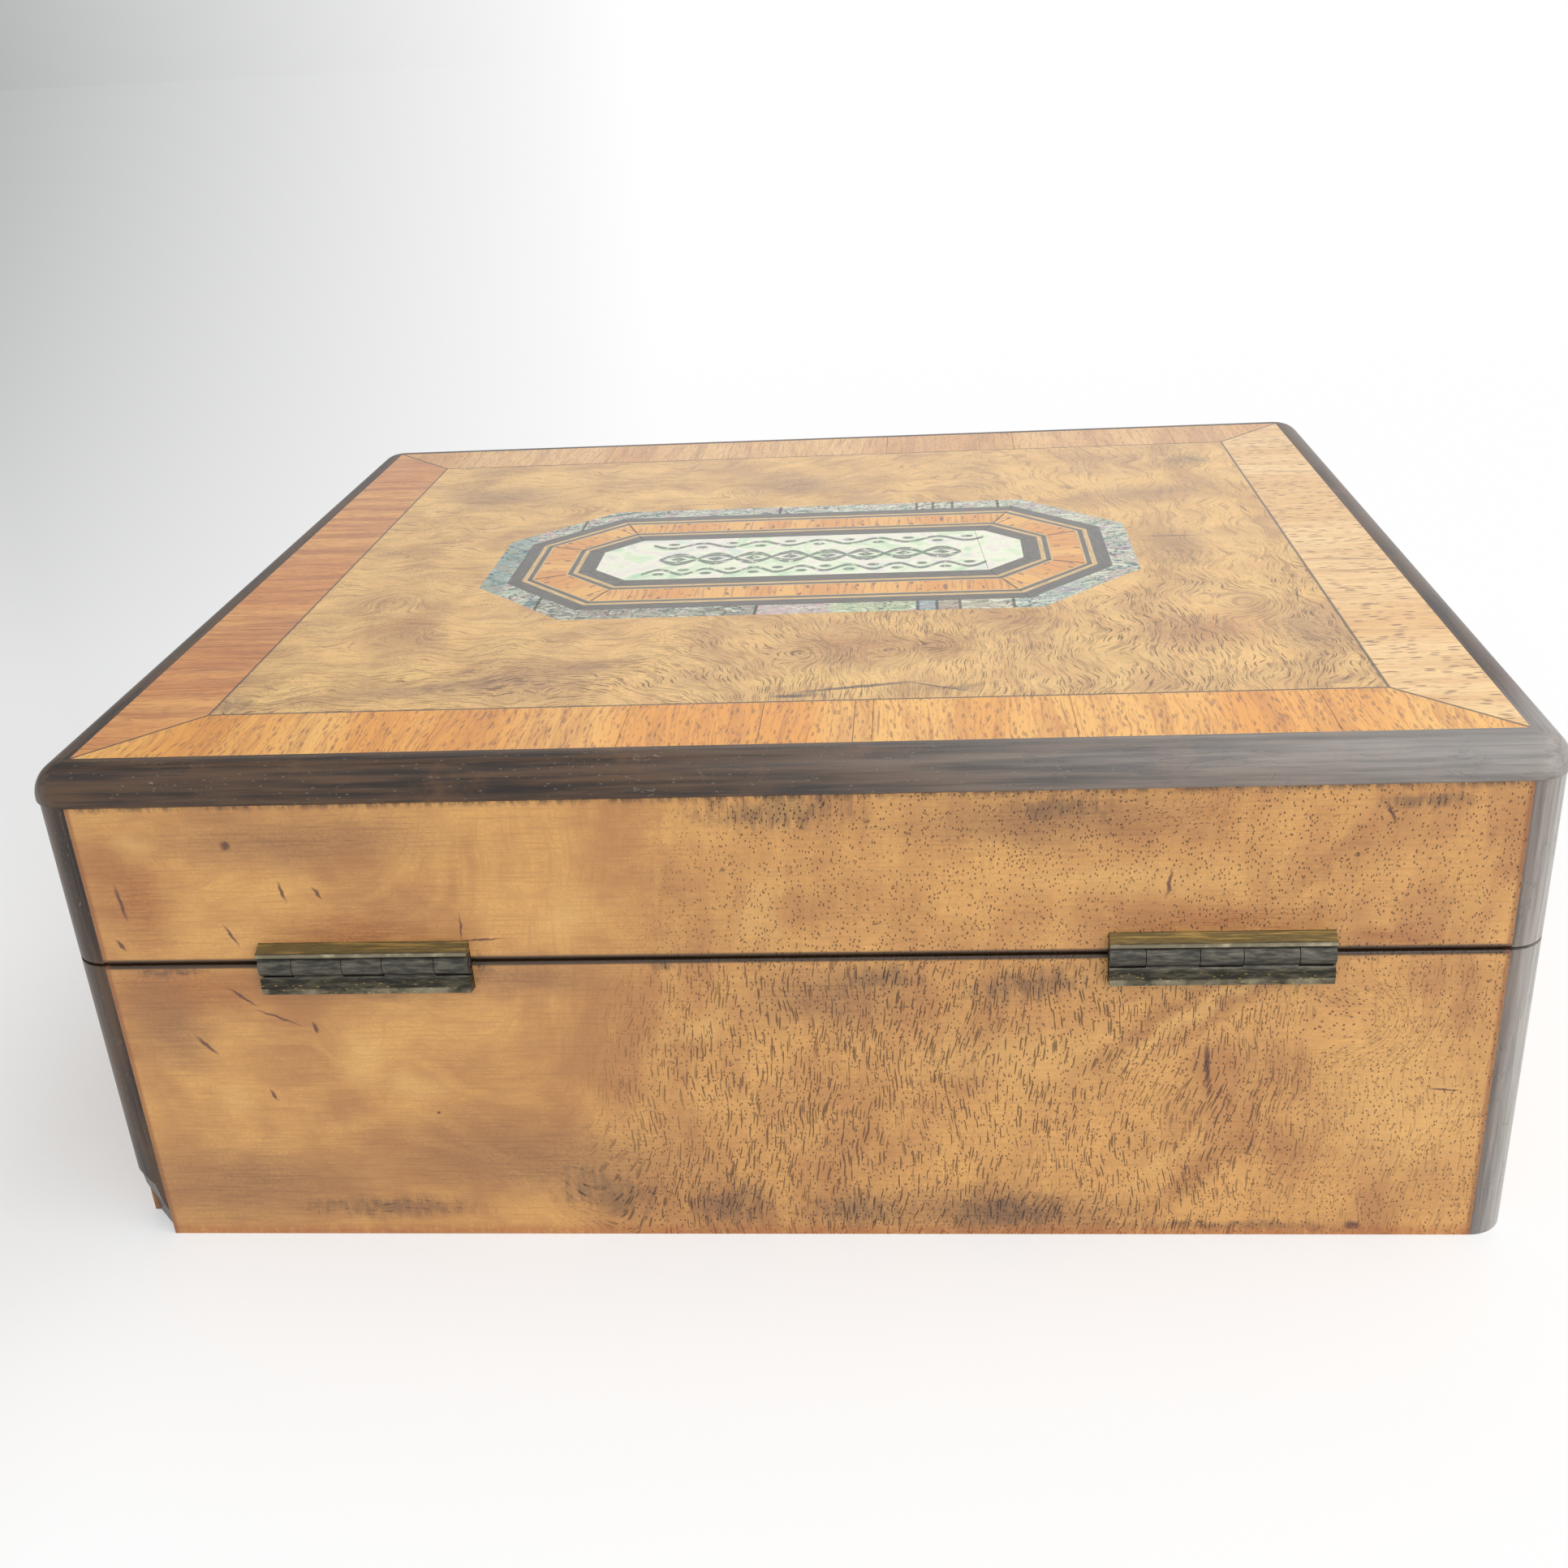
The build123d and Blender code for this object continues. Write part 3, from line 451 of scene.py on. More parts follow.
walnutTop = {
    "face": "top",
    "patchSize": 15.0,
    "wanderSize": 12.0,
    "wander": 13.0,
    "crosswise": acrossTop,
    "pores": poresOfTop,
    "dark": (0.60, 0.33, 0.115),
    "light": (0.90, 0.54, 0.18),
    "golden": (0.95, 0.63, 0.22),
    "rippling": 0.35,
    "lineTone": (0.24, 0.11, 0.042),
    "lineWeight": 0.5,
    "lineEdge": (0.39, 0.48),
    "fibre": 0.08,
    "grit": 0.24,
    "poreTone": (0.07, 0.03, 0.015),
    "eyes": [
        ((64.0, 34.5), (9.0, 9.0)), ((68.0, 17.6), (8.0, 9.0)), ((-2.5, 48.0), (6.0, 7.0)),
        ((-9.5, 40.0), (5.0, 6.0)), ((-15.5, 47.5), (5.0, 7.0)), ((-23.0, 46.0), (5.0, 6.0)),
        ((-33.5, 33.5), (10.0, 9.0)), ((16.0, -42.0), (8.0, 7.0)), ((-46.0, -20.0), (12.0, 10.0)),
        ((-70.0, 30.0), (9.0, 10.0)), ((45.0, -35.0), (10.0, 8.0)),
    ],
    "eyeHeight": 9.0,
    "clouds": [
        ((0.46, 0.20, 0.065), 0.8, [
            ((-9.0, 45.0), (15.0, 11.0)), ((-22.0, 46.0), (7.0, 8.0)),
            ((-34.0, 35.0), (9.0, 7.0)), ((-60.0, 42.0), (14.0, 12.0)),
            ((62.0, 30.0), (9.0, 12.0)),
        ]),
        ((0.36, 0.195, 0.085), 0.75, [
            ((50.0, 57.0), (30.0, 5.0), 12.0), ((30.0, 50.0), (14.0, 4.0), 12.0),
            ((64.0, -42.0), (16.0, 9.0)), ((6.0, -44.0), (16.0, 12.0)),
            ((-62.0, -30.0), (18.0, 9.0), 15.0), ((-62.0, 2.0), (9.0, 18.0)),
            ((-70.0, 57.0), (18.0, 2.4), 32.0), ((-74.0, 63.0), (13.0, 2.0), 32.0),
            ((-76.0, 44.0), (8.0, 14.0)),
        ]),
        ((0.88, 0.56, 0.18), 0.75, [
            ((44.0, 42.0), (13.0, 9.0)), ((60.0, 52.0), (18.0, 4.0), -8.0),
            ((-46.0, 49.0), (9.0, 16.0), 20.0), ((-2.0, 57.0), (19.0, 3.4), 8.0),
            ((-66.0, 60.0), (16.0, 2.4), 32.0),
        ]),
    ],
    "stains": [
        ((79.0, 62.0), (6.0, 5.0)), ((-47.5, -35.5), (3.4, 3.0)), ((-3.0, 63.0), (4.4, 2.0)),
        ((-24.0, 61.4), (9.0, 2.2), 8.0), ((-72.0, -52.0), (10.0, 10.0)),
    ],
    "stainTone": (0.07, 0.05, 0.04),
    "cracks": [
        ((-0.8, 63.4), (3.6, 0.8), 0.0), ((-10.2, 60.6), (11.5, 0.7), 10.0),
        ((-21.5, 61.2), (7.0, 0.32), -24.0), ((-77.3, -18.0), (0.24, 4.5), 12.0),
        ((-77.0, 28.0), (0.2, 4.0), -10.0), ((28.0, 54.0), (0.2, 2.0), 40.0),
        ((32.0, 50.5), (0.2, 1.6), -40.0), ((-62.0, -3.5), (0.3, 7.0), 86.0),
    ],
    "crackTone": (0.07, 0.045, 0.035),
}
walnutSide = dict(walnutBack)
walnutSide.update(
    face="side",
    crosswise=acrossSide,
    pores=poresOfSide,
    wander=16.0,
    eyes=[((30.0, 60.0), (9.0, 8.0)), ((-48.0, 30.0), (9.0, 9.0)), ((8.0, 22.0), (8.0, 7.0)),
          ((60.0, 18.0), (9.0, 8.0))],
    clouds=[
        ((0.235, 0.11, 0.045), 0.85, [
            ((-20.0, 42.0), (26.0, 6.0)), ((52.0, 66.0), (22.0, 6.0)), ((20.0, 5.0), (34.0, 7.0)),
        ]),
        ((0.78, 0.43, 0.105), 0.9, [
            ((-10.0, 58.0), (20.0, 6.0), -15.0), ((30.0, 30.0), (18.0, 8.0), 10.0),
            ((-60.0, 14.0), (14.0, 8.0)),
        ]),
    ],
    stains=[((-62.0, 3.0), (18.0, 3.0)), ((40.0, 69.0), (16.0, 3.0)), ((58.0, 46.0), (12.0, 2.4))],
    cracks=[((44.0, 24.0), (0.3, 3.0), 30.0), ((-30.0, 61.0), (0.3, 2.4), -20.0)],
    ends=78.6,
)
# The front is cut from the same veneer as the back, so it has the same figure, less worn
walnutFront = dict(walnutBack)
walnutFront.update(
    crosswise=acrossTop,
    pores=poresOfSide,
    wander=16.0,
    clouds=walnutSide["clouds"],
    stains=[((52.0, 3.0), (20.0, 2.8)), ((-40.0, 69.5), (16.0, 2.8)), ((0.0, 46.0), (9.0, 2.0))],
    cracks=[((30.0, 58.0), (0.3, 2.4), 20.0), ((-64.0, 28.0), (0.3, 3.0), -30.0)],
)


# A look with only the marks whose middles lie between two heights, because one material with
# all of them is too large to render
def marksBetween(look, low, high):
    def kept(marks):
        return [mark for mark in marks if low < mark[0][1] < high]

    part = {key: kept(look[key]) for key in ("eyes", "stains", "cracks")}
    clouds = [(tone, amount, kept(marks)) for tone, amount, marks in look["clouds"]]
    part["clouds"] = [cloud for cloud in clouds if cloud[2]]
    return {**look, **part}


def dressWalnut():
    # both keep the marks near the parting line, as those reach over it
    baseLook, lidLook = marksBetween(walnutBack, -10, 52), marksBetween(walnutBack, 42, 90)
    dress(walnutVeneer("walnutBackBase", baseLook), "base_back_veneer")
    dress(walnutVeneer("walnutBackLid", lidLook), "lid_back_veneer")
    dress(walnutVeneer("walnutFront", walnutFront), "base_front_veneer", "lid_front_veneer")
    dress(walnutVeneer("walnutTop", walnutTop), "lid_panel_veneer")
    sides = ["base_left_veneer", "lid_left_veneer", "base_right_veneer", "lid_right_veneer"]
    dress(walnutVeneer("walnutSide", walnutSide), *sides)


# Cross-grained banding round the lid, with lengths of veneer that differ a little
# The sides' tones also carry painted light: the band on the window's side is paler, and the one
# away from it darker
crossbands = {
    "crossband_back": {"grain": "y", "tone": (0.80, 0.33, 0.035), "deep": (0.48, 0.16, 0.02),
                       "pale": (0.88, 0.46, 0.10), "dashes": 0.6, "streaks": 0.4,
                       "joints": [2.5, -10.0]},
    "crossband_front": {"grain": "y", "tone": (0.69, 0.35, 0.11), "deep": (0.45, 0.20, 0.065),
                        "pale": (0.80, 0.47, 0.18), "dashes": 0.3, "streaks": 0.5,
                        "joints": [-32.0, 28.0]},
    "crossband_right": {"grain": "x", "tone": (0.67, 0.265, 0.06), "deep": (0.40, 0.125, 0.03),
                        "pale": (0.77, 0.36, 0.09), "dashes": 0.25, "streaks": 0.75,
                        "joints": [38.0, -20.0]},
    "crossband_left": {"grain": "x", "tone": (0.80, 0.48, 0.18), "deep": (0.62, 0.31, 0.10),
                       "pale": (0.87, 0.58, 0.26), "dashes": 0.9, "streaks": 0.45,
                       "joints": [44.0, 12.0, -30.0]},
}
# The tone of the banding's pores and dark lines
bandingMarks = (0.13, 0.045, 0.018)


def crossbandVeneer(name, look):
    f = polishedWood(name)
    x, y, _ = f.place()
    across, along = (x, y) if look["grain"] == "y" else (y, x)
    flat = f.vector(across, along)
    height = across + f.noise(flat, 0.07, 2.0, 0.5) * 3.0
    leaf = f.noise(f.vector(across * 0.055, along * 0.004), 1.0, 1.0, 0.5)
    colour = f.blend(leaf.rise(0.4, 0.6), look["tone"], look["pale"])
    slow = f.noise(f.vector(height * 0.3, along * 0.02), 1.0, 3.0, 0.6)
    colour = f.blend(slow.rise(0.44, 0.66) * look["streaks"], colour, look["deep"])
    fine = f.noise(f.vector(height * 1.9, along * 0.1), 1.0, 3.0, 0.7)
    colour = f.blend(fine.fall(0.36, 0.52) * 0.62, colour, look["deep"])
    lines = f.noise(f.vector(height * 0.9, along * 0.03 + 9.0), 1.0, 2.0, 0.5).rise(0.66, 0.72)
    dashes = f.flecks(f.vector(height * 1.3, along * 0.3), 0.3)
    pores = f.flecks(f.vector(height * 2.8, along * 0.4), 0.3)
    marks = (dashes * look["dashes"]).most(pores * 0.4, lines * 0.6)
    colour = f.blend(marks * 0.8, colour, bandingMarks)
    outX, outY = abs(x) - panelJoint["halfLength"], abs(y) - panelJoint["halfDepth"]
    glue = abs(outX.most(outY)).least(abs(outX - outY) * 0.7)
    for place in look["joints"]:
        glue = glue.least(abs(across - place) * 2.2 + 0.12)
    glue = glue.fall(*panelJoint["line"])
    colour = f.blend(glue * 0.85, colour, grimeAndShade["tone"])
    roughness = 0.34 + f.noise(flat, 0.06, 3.0, 0.6) * 0.16
    relief = f.relief(1 - marks.most(glue) + fine * 0.3, 0.1 * mm)
    return f.finishWith(colour, roughness, relief)


# Dark solid wood for the mouldings and beads, with its grain along each piece. A grey sheen is
# painted on towards the window, most of all on the corner's bead, which stands upright.
darkWood = {
    "deep": (0.016, 0.010, 0.008),
    "brown": (0.092, 0.050, 0.026),
    "worn": (0.16, 0.08, 0.04),
    "scratch": (0.30, 0.26, 0.21),
    "paintedSheen": (0.50, 0.47, 0.44),
    "paintedSheenDepth": (60.0, 78.0),
    "upright": {"paintedSheenReach": (92.0, 99.0), "paintedSheenStreaks": 1.1},
    "level": {"paintedSheenReach": (-30.0, 110.0), "paintedSheenStreaks": 0.7},
    "coat": {"Coat Weight": 0.2, "Coat Roughness": 0.16, "Specular IOR Level": 0.35},
}


def darkEdging(name, grain):
    f = Finish(name, **darkWood["coat"])
    x, y, z = f.place()
    point = f.vector(x, y, z)
    along, first, second = {"x": (x, y, z), "y": (y, x, z), "z": (z, x, y)}[grain]

    def drawnOut(lengthwise, across):
        return f.vector(along * lengthwise, first * across, second * across)

    streak = f.noise(drawnOut(0.05, 1.3), 1.0, 4.0, 0.62)
    broad = f.noise(drawnOut(0.04, 0.2), 1.0, 2.0, 0.5)
    figure = (streak * 0.6 + broad * 0.5).rise(0.42, 0.66)
    colour = f.blend(figure, darkWood["deep"], darkWood["brown"])
    wear = f.noise(point, 0.11, 4.0, 0.65).rise(0.56, 0.74)
    colour = f.blend(wear * 0.5, colour, darkWood["worn"])
    # thin scratches are the lines where slow noise crosses its middle value
    wide = f.noise(drawnOut(0.12, 0.5), 1.0, 3.0, 0.55, 0.8)
    scratch = abs(wide - 0.5).fall(0.0, 0.006) * f.noise(point, 0.15, 1.0).rise(0.5, 0.62)
    specks = f.flecks(drawnOut(0.55, 1.6), 0.16)
    marked = scratch.most(specks * 0.7)
    colour = f.blend(marked * 0.55, colour, darkWood["scratch"])
    lit = darkWood["upright" if grain == "z" else "level"]
    # painted sheen: grey is mixed in on the window's side, towards the back
    paintedSheen = (x * -1).rise(*lit["paintedSheenReach"]) * y.rise(*darkWood["paintedSheenDepth"])
    colour = f.blend(paintedSheen * (0.12 + streak * lit["paintedSheenStreaks"]), colour, darkWood["paintedSheen"])
    roughness = 0.33 + streak * 0.2 + marked * 0.25
    relief = f.relief(streak * 0.6 + broad * 2.0 - marked * 0.5, 0.12 * mm)
    return f.finishWith(colour, roughness, relief)


def dressEdging():
    mouldings = {"back": "x", "front": "x", "left": "y", "right": "y"}
    for side, grain in mouldings.items():
        dress(darkEdging("edging" + side.capitalize(), grain), "lid_moulding_" + side)
    beads = [name for name in cadNodes if "_bead_" in name]
    dress(darkEdging("edgingBead", "z"), *beads)


# The inlay's outline, in millimetres: half sizes of the plaque, its corner and its centre, and
# how far the run takes to turn from one side to the next
inlay = {
    "halfLength": 36.5, "halfWidth": 10.8, "corner": 6.0, "centreY": 1.0, "turn": (-0.01, 0.01),
}


# How far a point lies outside the plaque's octagon, the distance along that side, and how
# far it is from the mitre with the next side
def inlaySides(x, y):
    ends = abs(x) - inlay["halfLength"]
    longs = abs(y) - inlay["halfWidth"]
    reach = inlay["halfLength"] + inlay["halfWidth"] - inlay["corner"]
    corners = (abs(x) + abs(y) - reach) * math.sqrt(0.5)
    onCorner = (corners - ends.most(longs)).rise(*inlay["turn"])
    onEnd = (ends - longs.most(corners)).rise(*inlay["turn"])
    onLong = 1 - onCorner.most(onEnd)
    run = x * onLong + y * onEnd + (abs(x) - abs(y)) * math.sqrt(0.5) * onCorner
    out = ends.most(longs, corners)
    nextOut = ends.least(longs).most(ends.most(longs).least(corners))
    return out, run, out - nextOut


def lineInlay(name, tone, shade, speck):
    f = polishedWood(name)
    x, y, _ = f.place()
    out, run, _ = inlaySides(x, y - inlay["centreY"])
    grain = f.noise(f.vector(run * 0.25, out * 2.2), 1.0, 3.0, 0.6)
    colour = f.blend(grain.rise(0.35, 0.65), tone, shade)
    dirt = f.noise(f.vector(x, y), 0.5, 3.0, 0.6).rise(0.6, 0.72)
    colour = f.blend(dirt * 0.45, colour, speck)
    roughness = 0.3 + grain * 0.12
    return f.finishWith(colour, roughness, f.relief(grain, 0.04 * mm))


# Kingwood, with a dark joint at each mitre, this near to it in millimetres
kingwood = {
    "tone": (0.72, 0.30, 0.045),
    "pale": (0.82, 0.42, 0.085),
    "fine": (0.36, 0.12, 0.035),
    "dark": (0.11, 0.035, 0.02),
    "mitre": (0.1, 0.26),
}


def kingwoodBand(name):
    f = polishedWood(name)
    x, y, _ = f.place()
    out, run, mitre = inlaySides(x, y - inlay["centreY"])
    leaf = f.noise(f.vector(run * 0.11, 3.0), 1.0, 1.0, 0.5)
    colour = f.blend(leaf.rise(0.42, 0.58), kingwood["tone"], kingwood["pale"])
    fine = f.noise(f.vector(run * 1.7, out * 0.1), 1.0, 3.0, 0.6)
    colour = f.blend(fine.fall(0.38, 0.5) * 0.6, colour, kingwood["fine"])
    dark = f.noise(f.vector(run * 0.75, out * 0.3 + 5.0), 1.0, 2.0, 0.5).rise(0.62, 0.66)
    dark = dark.most(mitre.fall(*kingwood["mitre"]))
    colour = f.blend(dark * 0.75, colour, kingwood["dark"])
    roughness = 0.3 + fine * 0.12
    return f.finishWith(colour, roughness, f.relief(fine, 0.05 * mm))


# The pearl plaque's engraving: a waved line with drops along each edge, and a plain
# interlaced band of ovals and lozenges between them
engraving = {
    "centreX": -1.0,
    "reach": (29.0, 29.4),
    "bandReach": (26.0, 26.2),
    "lineWidth": 0.4,
    "ink": (0.07, 0.10, 0.085),
    "waves": [
        {"y": -6.0, "height": 1.3, "step": 10.4, "start": 1.2},
        {"y": 8.2, "height": 1.35, "step": 8.1, "start": 3.0},
    ],
    "dropWidth": 1.15,
    "dropHeight": 0.75,
    "bandY": 1.5,
    "bandHeight": 2.75,
    "bandStep": 13.0,
    "innerShare": 0.62,
    "lozenge": (1.5, 1.15),
}


def pearlPlaque(name):
    f = Finish(name, **{"Coat Weight": 0.6, "Coat Roughness": 0.08})
    x, y, _ = f.place()
    flat = f.vector(x, y)
    drift = f.noise(flat, 0.11, 3.0, 0.55, 1.6)
    colour = f.ramp(drift, [
        (0.30, (0.42, 0.64, 0.42)),
        (0.42, (0.66, 0.80, 0.50)),
        (0.50, (0.86, 0.87, 0.66)),
        (0.58, (0.84, 0.74, 0.66)),
        (0.68, (0.58, 0.74, 0.58)),
    ])
    layers = f.noise(f.vector(x * 0.3 + drift * 9.0, y * 0.9), 1.0, 3.0, 0.6)
    colour = f.blend(layers.rise(0.5, 0.75) * 0.4, colour, (0.86, 0.88, 0.80))
    width = engraving["lineWidth"]
    inside = abs(x - engraving["centreX"]).fall(*engraving["reach"])
    up = abs(y - engraving["bandY"])
    turn = x * (2 * math.pi / engraving["bandStep"])
    braid = abs(turn.sine()) * engraving["bandHeight"]
    cut = abs(up - braid).fall(width, width * 1.9)
    inner = braid * engraving["innerShare"]
    cut = cut.most(abs(up - inner).fall(width * 0.6, width * 1.3))
    lozenge = x.repeat(engraving["bandStep"] / 2, engraving["bandStep"] / 4)
    halfLong, halfHigh = engraving["lozenge"]
    cut = cut.most((lozenge / halfLong + up / halfHigh).fall(0.9, 1.1))
    cut = cut * abs(x).fall(*engraving["bandReach"])
    for wave in engraving["waves"]:
        turn = (x - wave["start"]) * (2 * math.pi / wave["step"])
        curve = turn.sine() * wave["height"]
        cut = cut.most(abs(y - wave["y"] - curve).fall(width, width * 1.9))
        # a drop hangs in each hollow of the wave, on alternate sides
        for side in (1, -1):
            middle = wave["start"] - side * wave["step"] / 4
            beside = x.repeat(wave["step"], middle) / engraving["dropWidth"]
            deep = (y - wave["y"] - side * wave["height"] * 0.75) / engraving["dropHeight"]
            cut = cut.most((beside * beside + deep * deep).fall(0.55, 1.0))
    cut = cut * inside
    ink = cut * f.noise(flat, 0.8, 2.0, 0.6).rise(0.25, 0.5)
    colour = f.blend(ink * 0.88, colour, engraving["ink"])
    roughness = 0.16 + layers * 0.12 + cut * 0.3
    return f.finishWith(colour, roughness, f.relief(layers * 0.2 - cut, 0.1 * mm))


# Abalone in pieces: where they meet along the lid, the run of pieces nearest the back, and the
# end that shines teal. Places are in millimetres.
shell = {
    "joints": [-33.6, -25.2, -21.6, -18.6, 7.0, 43.2],
    "jointLine": (0.12, 0.34),
    "nearRun": 12.0,
    "nearReach": 45.0,
    "tealEnd": 50.0,
    "runLength": 120.0,
    "bright": (0.78, 0.82, 0.64),
    "pit": (0.05, 0.04, 0.03),
    "rainbow": [
        (0.30, (0.02, 0.04, 0.05)),
        (0.40, (0.05, 0.13, 0.15)),
        (0.45, (0.15, 0.24, 0.17)),
        (0.50, (0.66, 0.70, 0.50)),
        (0.54, (0.34, 0.28, 0.20)),
        (0.59, (0.60, 0.34, 0.38)),
        (0.66, (0.06, 0.09, 0.20)),
    ],
    # one tone for each piece of the run, from the right end of the box to the left
    "pieces": [
        (0.00, (0.34, 0.42, 0.38)),
        (0.22, (0.46, 0.38, 0.24)),
        (0.29, (0.26, 0.15, 0.07)),
        (0.32, (0.14, 0.27, 0.38)),
        (0.345, (0.46, 0.56, 0.27)),
        (0.46, (0.56, 0.38, 0.38)),
        (0.558, (0.13, 0.11, 0.075)),
        (0.86, (0.08, 0.14, 0.18)),
    ],
    "teal": [
        (0.38, (0.05, 0.11, 0.12)),
        (0.50, (0.17, 0.34, 0.34)),
        (0.60, (0.22, 0.23, 0.15)),
    ],
}


def shellBorder(name):
    f = Finish(name, **{"Coat Weight": 0.3, "Coat Roughness": 0.1})
    x, y, _ = f.place()
    flat = f.vector(x, y)
    fold = f.noise(flat, 0.16, 3.0, 0.6, 2.2)
    veins = f.noise(f.vector(x * 0.24 + fold * 6.0, y * 0.5 + fold * 6.0), 1.0, 3.0, 0.55)
    pieces = f.ramp(x / shell["runLength"] + 0.5, shell["pieces"], "CONSTANT")
    near = (y - shell["nearRun"]).rise(0.0, 0.6) * (abs(x) - shell["nearReach"]).fall(0.0, 1.0)
    bright = f.noise(f.vector(x * 0.26, y * 0.55), 1.0, 2.0, 0.6, 2.2)
    rainbow = f.ramp(veins, shell["rainbow"])
    colour = f.blend(near * (0.3 + bright.rise(0.4, 0.54) * 0.5), rainbow, pieces)
    colour = f.blend(bright.rise(0.55, 0.6) * 0.7, colour, shell["bright"])
    end = (x - shell["tealEnd"]).rise(0.0, 1.5)
    bands = f.noise(f.vector((x + y * 1.2) * 0.42, (x - y) * 0.03), 1.0, 2.0, 0.5)
    colour = f.blend(end * 0.65, colour, f.ramp(bands, shell["teal"]))
    joint = abs(x - shell["joints"][0])
    for place in shell["joints"][1:]:
        joint = joint.least(abs(x - place))
    joint = joint.fall(*shell["jointLine"]) * 0.9
    pits = f.flecks(f.vector(x * 1.1, y * 1.1), 0.34) * f.noise(flat, 0.12, 2.0).rise(0.5, 0.62)
    cells = f.noise(flat, 1.4, 3.0, 0.7).rise(0.62, 0.68) * 0.35
    dark = pits.most(cells, joint)
    colour = f.blend(dark * 0.85, colour, shell["pit"])
    roughness = 0.2 + dark * 0.4
    return f.finishWith(colour, roughness, f.relief(veins * 0.3 - dark, 0.12 * mm))


def dressInlay():
    dress(pearlPlaque("motherOfPearl"), "inlay_pearl_plaque")
    dress(shellBorder("abalone"), "inlay_shell_border")
    dress(kingwoodBand("kingwood"), "inlay_kingwood_band")
    boxwood = lineInlay("boxwood", (0.70, 0.47, 0.19), (0.52, 0.32, 0.11), (0.2, 0.11, 0.05))
    dress(boxwood, "inlay_boxwood_lines")
    ebony = lineInlay("ebony", (0.055, 0.047, 0.038), (0.11, 0.095, 0.075), (0.2, 0.16, 0.11))
    dress(ebony, "inlay_ebony_lines", "inlay_inner_ebony_band", "inlay_outer_ebony_band")


# Old brass. Height over the hinge's axis, in millimetres, tells the upper flange, olive brass
# painted lighter where it faces up, from the dark knuckles and the speckled lower flange.
brass = {
    "axisZ": 47.25,
    "upper": (2.35, 2.55),
    "lipHighlight": ((1.75, 1.85), (2.3, 2.45)),
    "knuckle": (1.5, 1.75),
    "lower": (-2.3, -1.7),
    "foot": (-3.15, -2.9),
    "grime": (0.032, 0.030, 0.023),
    "dull": (0.10, 0.088, 0.06),
    "olive": (0.20, 0.145, 0.055),
    "gold": (0.46, 0.31, 0.09),
    "bright": (0.62, 0.54, 0.36),
    "knuckleReflection": (0.34, 0.33, 0.31),
}


def agedBrass(name):
    f = Finish(name)
    x, y, z = f.place()
    smear = f.noise(f.vector(x * 0.35, y * 2.0, z * 2.0), 1.0, 4.0, 0.65)
    patch = f.noise(f.vector(x, y, z), 0.3, 3.0, 0.6)
    up = z - brass["axisZ"]
    colour = f.blend(smear.rise(0.4, 0.65), brass["grime"], brass["dull"])
    # the upper flange: olive and gold brass, painted lighter where it faces up
    upper = up.rise(*brass["upper"])
    colour = f.blend(upper * (0.45 + smear * 0.5), colour, brass["olive"])
    drawn = f.noise(f.vector(x * 0.12, y * 2.5, z * 2.5), 1.0, 3.0, 0.6)
    colour = f.blend(upper * drawn.rise(0.5, 0.68) * 0.6, colour, brass["gold"])
    # painted highlight along the upper flange's edge
    lipLow, lipHigh = brass["lipHighlight"]
    lipHighlight = up.rise(*lipLow) * up.fall(*lipHigh)
    colour = f.blend(lipHighlight * (0.3 + patch.rise(0.45, 0.65) * 0.45), colour, brass["bright"])
    # painted grey reflection on the knuckles
    knuckle = abs(up).fall(*brass["knuckle"])
    colour = f.blend(knuckle * smear.rise(0.1, 0.9) * 0.26, colour, brass["knuckleReflection"])
    speck = f.flecks(f.vector(x * 0.9, y * 2.0, z * 2.0), 0.26) * up.fall(*brass["lower"])
    colour = f.blend(speck * 0.5, colour, brass["gold"])
    # painted highlight along the lower flange's foot
    foot = up.fall(*brass["foot"]) * patch.rise(0.3, 0.7)
    colour = f.blend(foot * 0.45, colour, brass["bright"])
    roughness = 0.5 - knuckle * 0.12 + patch * 0.2 - lipHighlight * 0.1
    metal = 0.75 + smear * 0.2
    return f.finishWith(colour, roughness, f.relief(smear + patch, 0.1 * mm), metal)


def plainMetal(name, tone, dark):
    f = Finish(name)
    x, y, z = f.place()
    smear = f.noise(f.vector(x, y, z), 0.4, 4.0, 0.6)
    colour = f.blend(smear.rise(0.4, 0.7), tone, dark)
    brushed = f.noise(f.vector(x * 0.4, y * 5.0, z * 5.0), 1.0, 2.0, 0.6)
    roughness = 0.3 + smear * 0.2
    metal = 0.9 + smear * 0.1
    return f.finishWith(colour, roughness, f.relief(brushed, 0.03 * mm), metal)


metals = {
    "lockBrass": ((0.62, 0.46, 0.20), (0.34, 0.23, 0.10), [
        "lock_plate", "lock_case", "lock_bolt", "strike_plate", "keyhole_escutcheon",
    ]),
    "screwBrass": ((0.50, 0.38, 0.18), (0.22, 0.15, 0.07), ["base_screws", "lid_screws"]),
    "lockSteel": ((0.34, 0.33, 0.32), (0.14, 0.12, 0.10), ["lock_drill_pin"]),
}


def dressMetal():
    dress(agedBrass("hingeBrass"), *[name for name in cadNodes if name.startswith("hinge_")])
    for name, (tone, dark, fittings) in metals.items():
        dress(plainMetal(name, tone, dark), *fittings)


# The unpolished wood of the boards, seen in the rims and underneath
board = {
    "tone": (0.36, 0.19, 0.085),
    "pale": (0.50, 0.30, 0.15),
    "pore": (0.14, 0.07, 0.03),
    "dirt": (0.16, 0.09, 0.05),
}


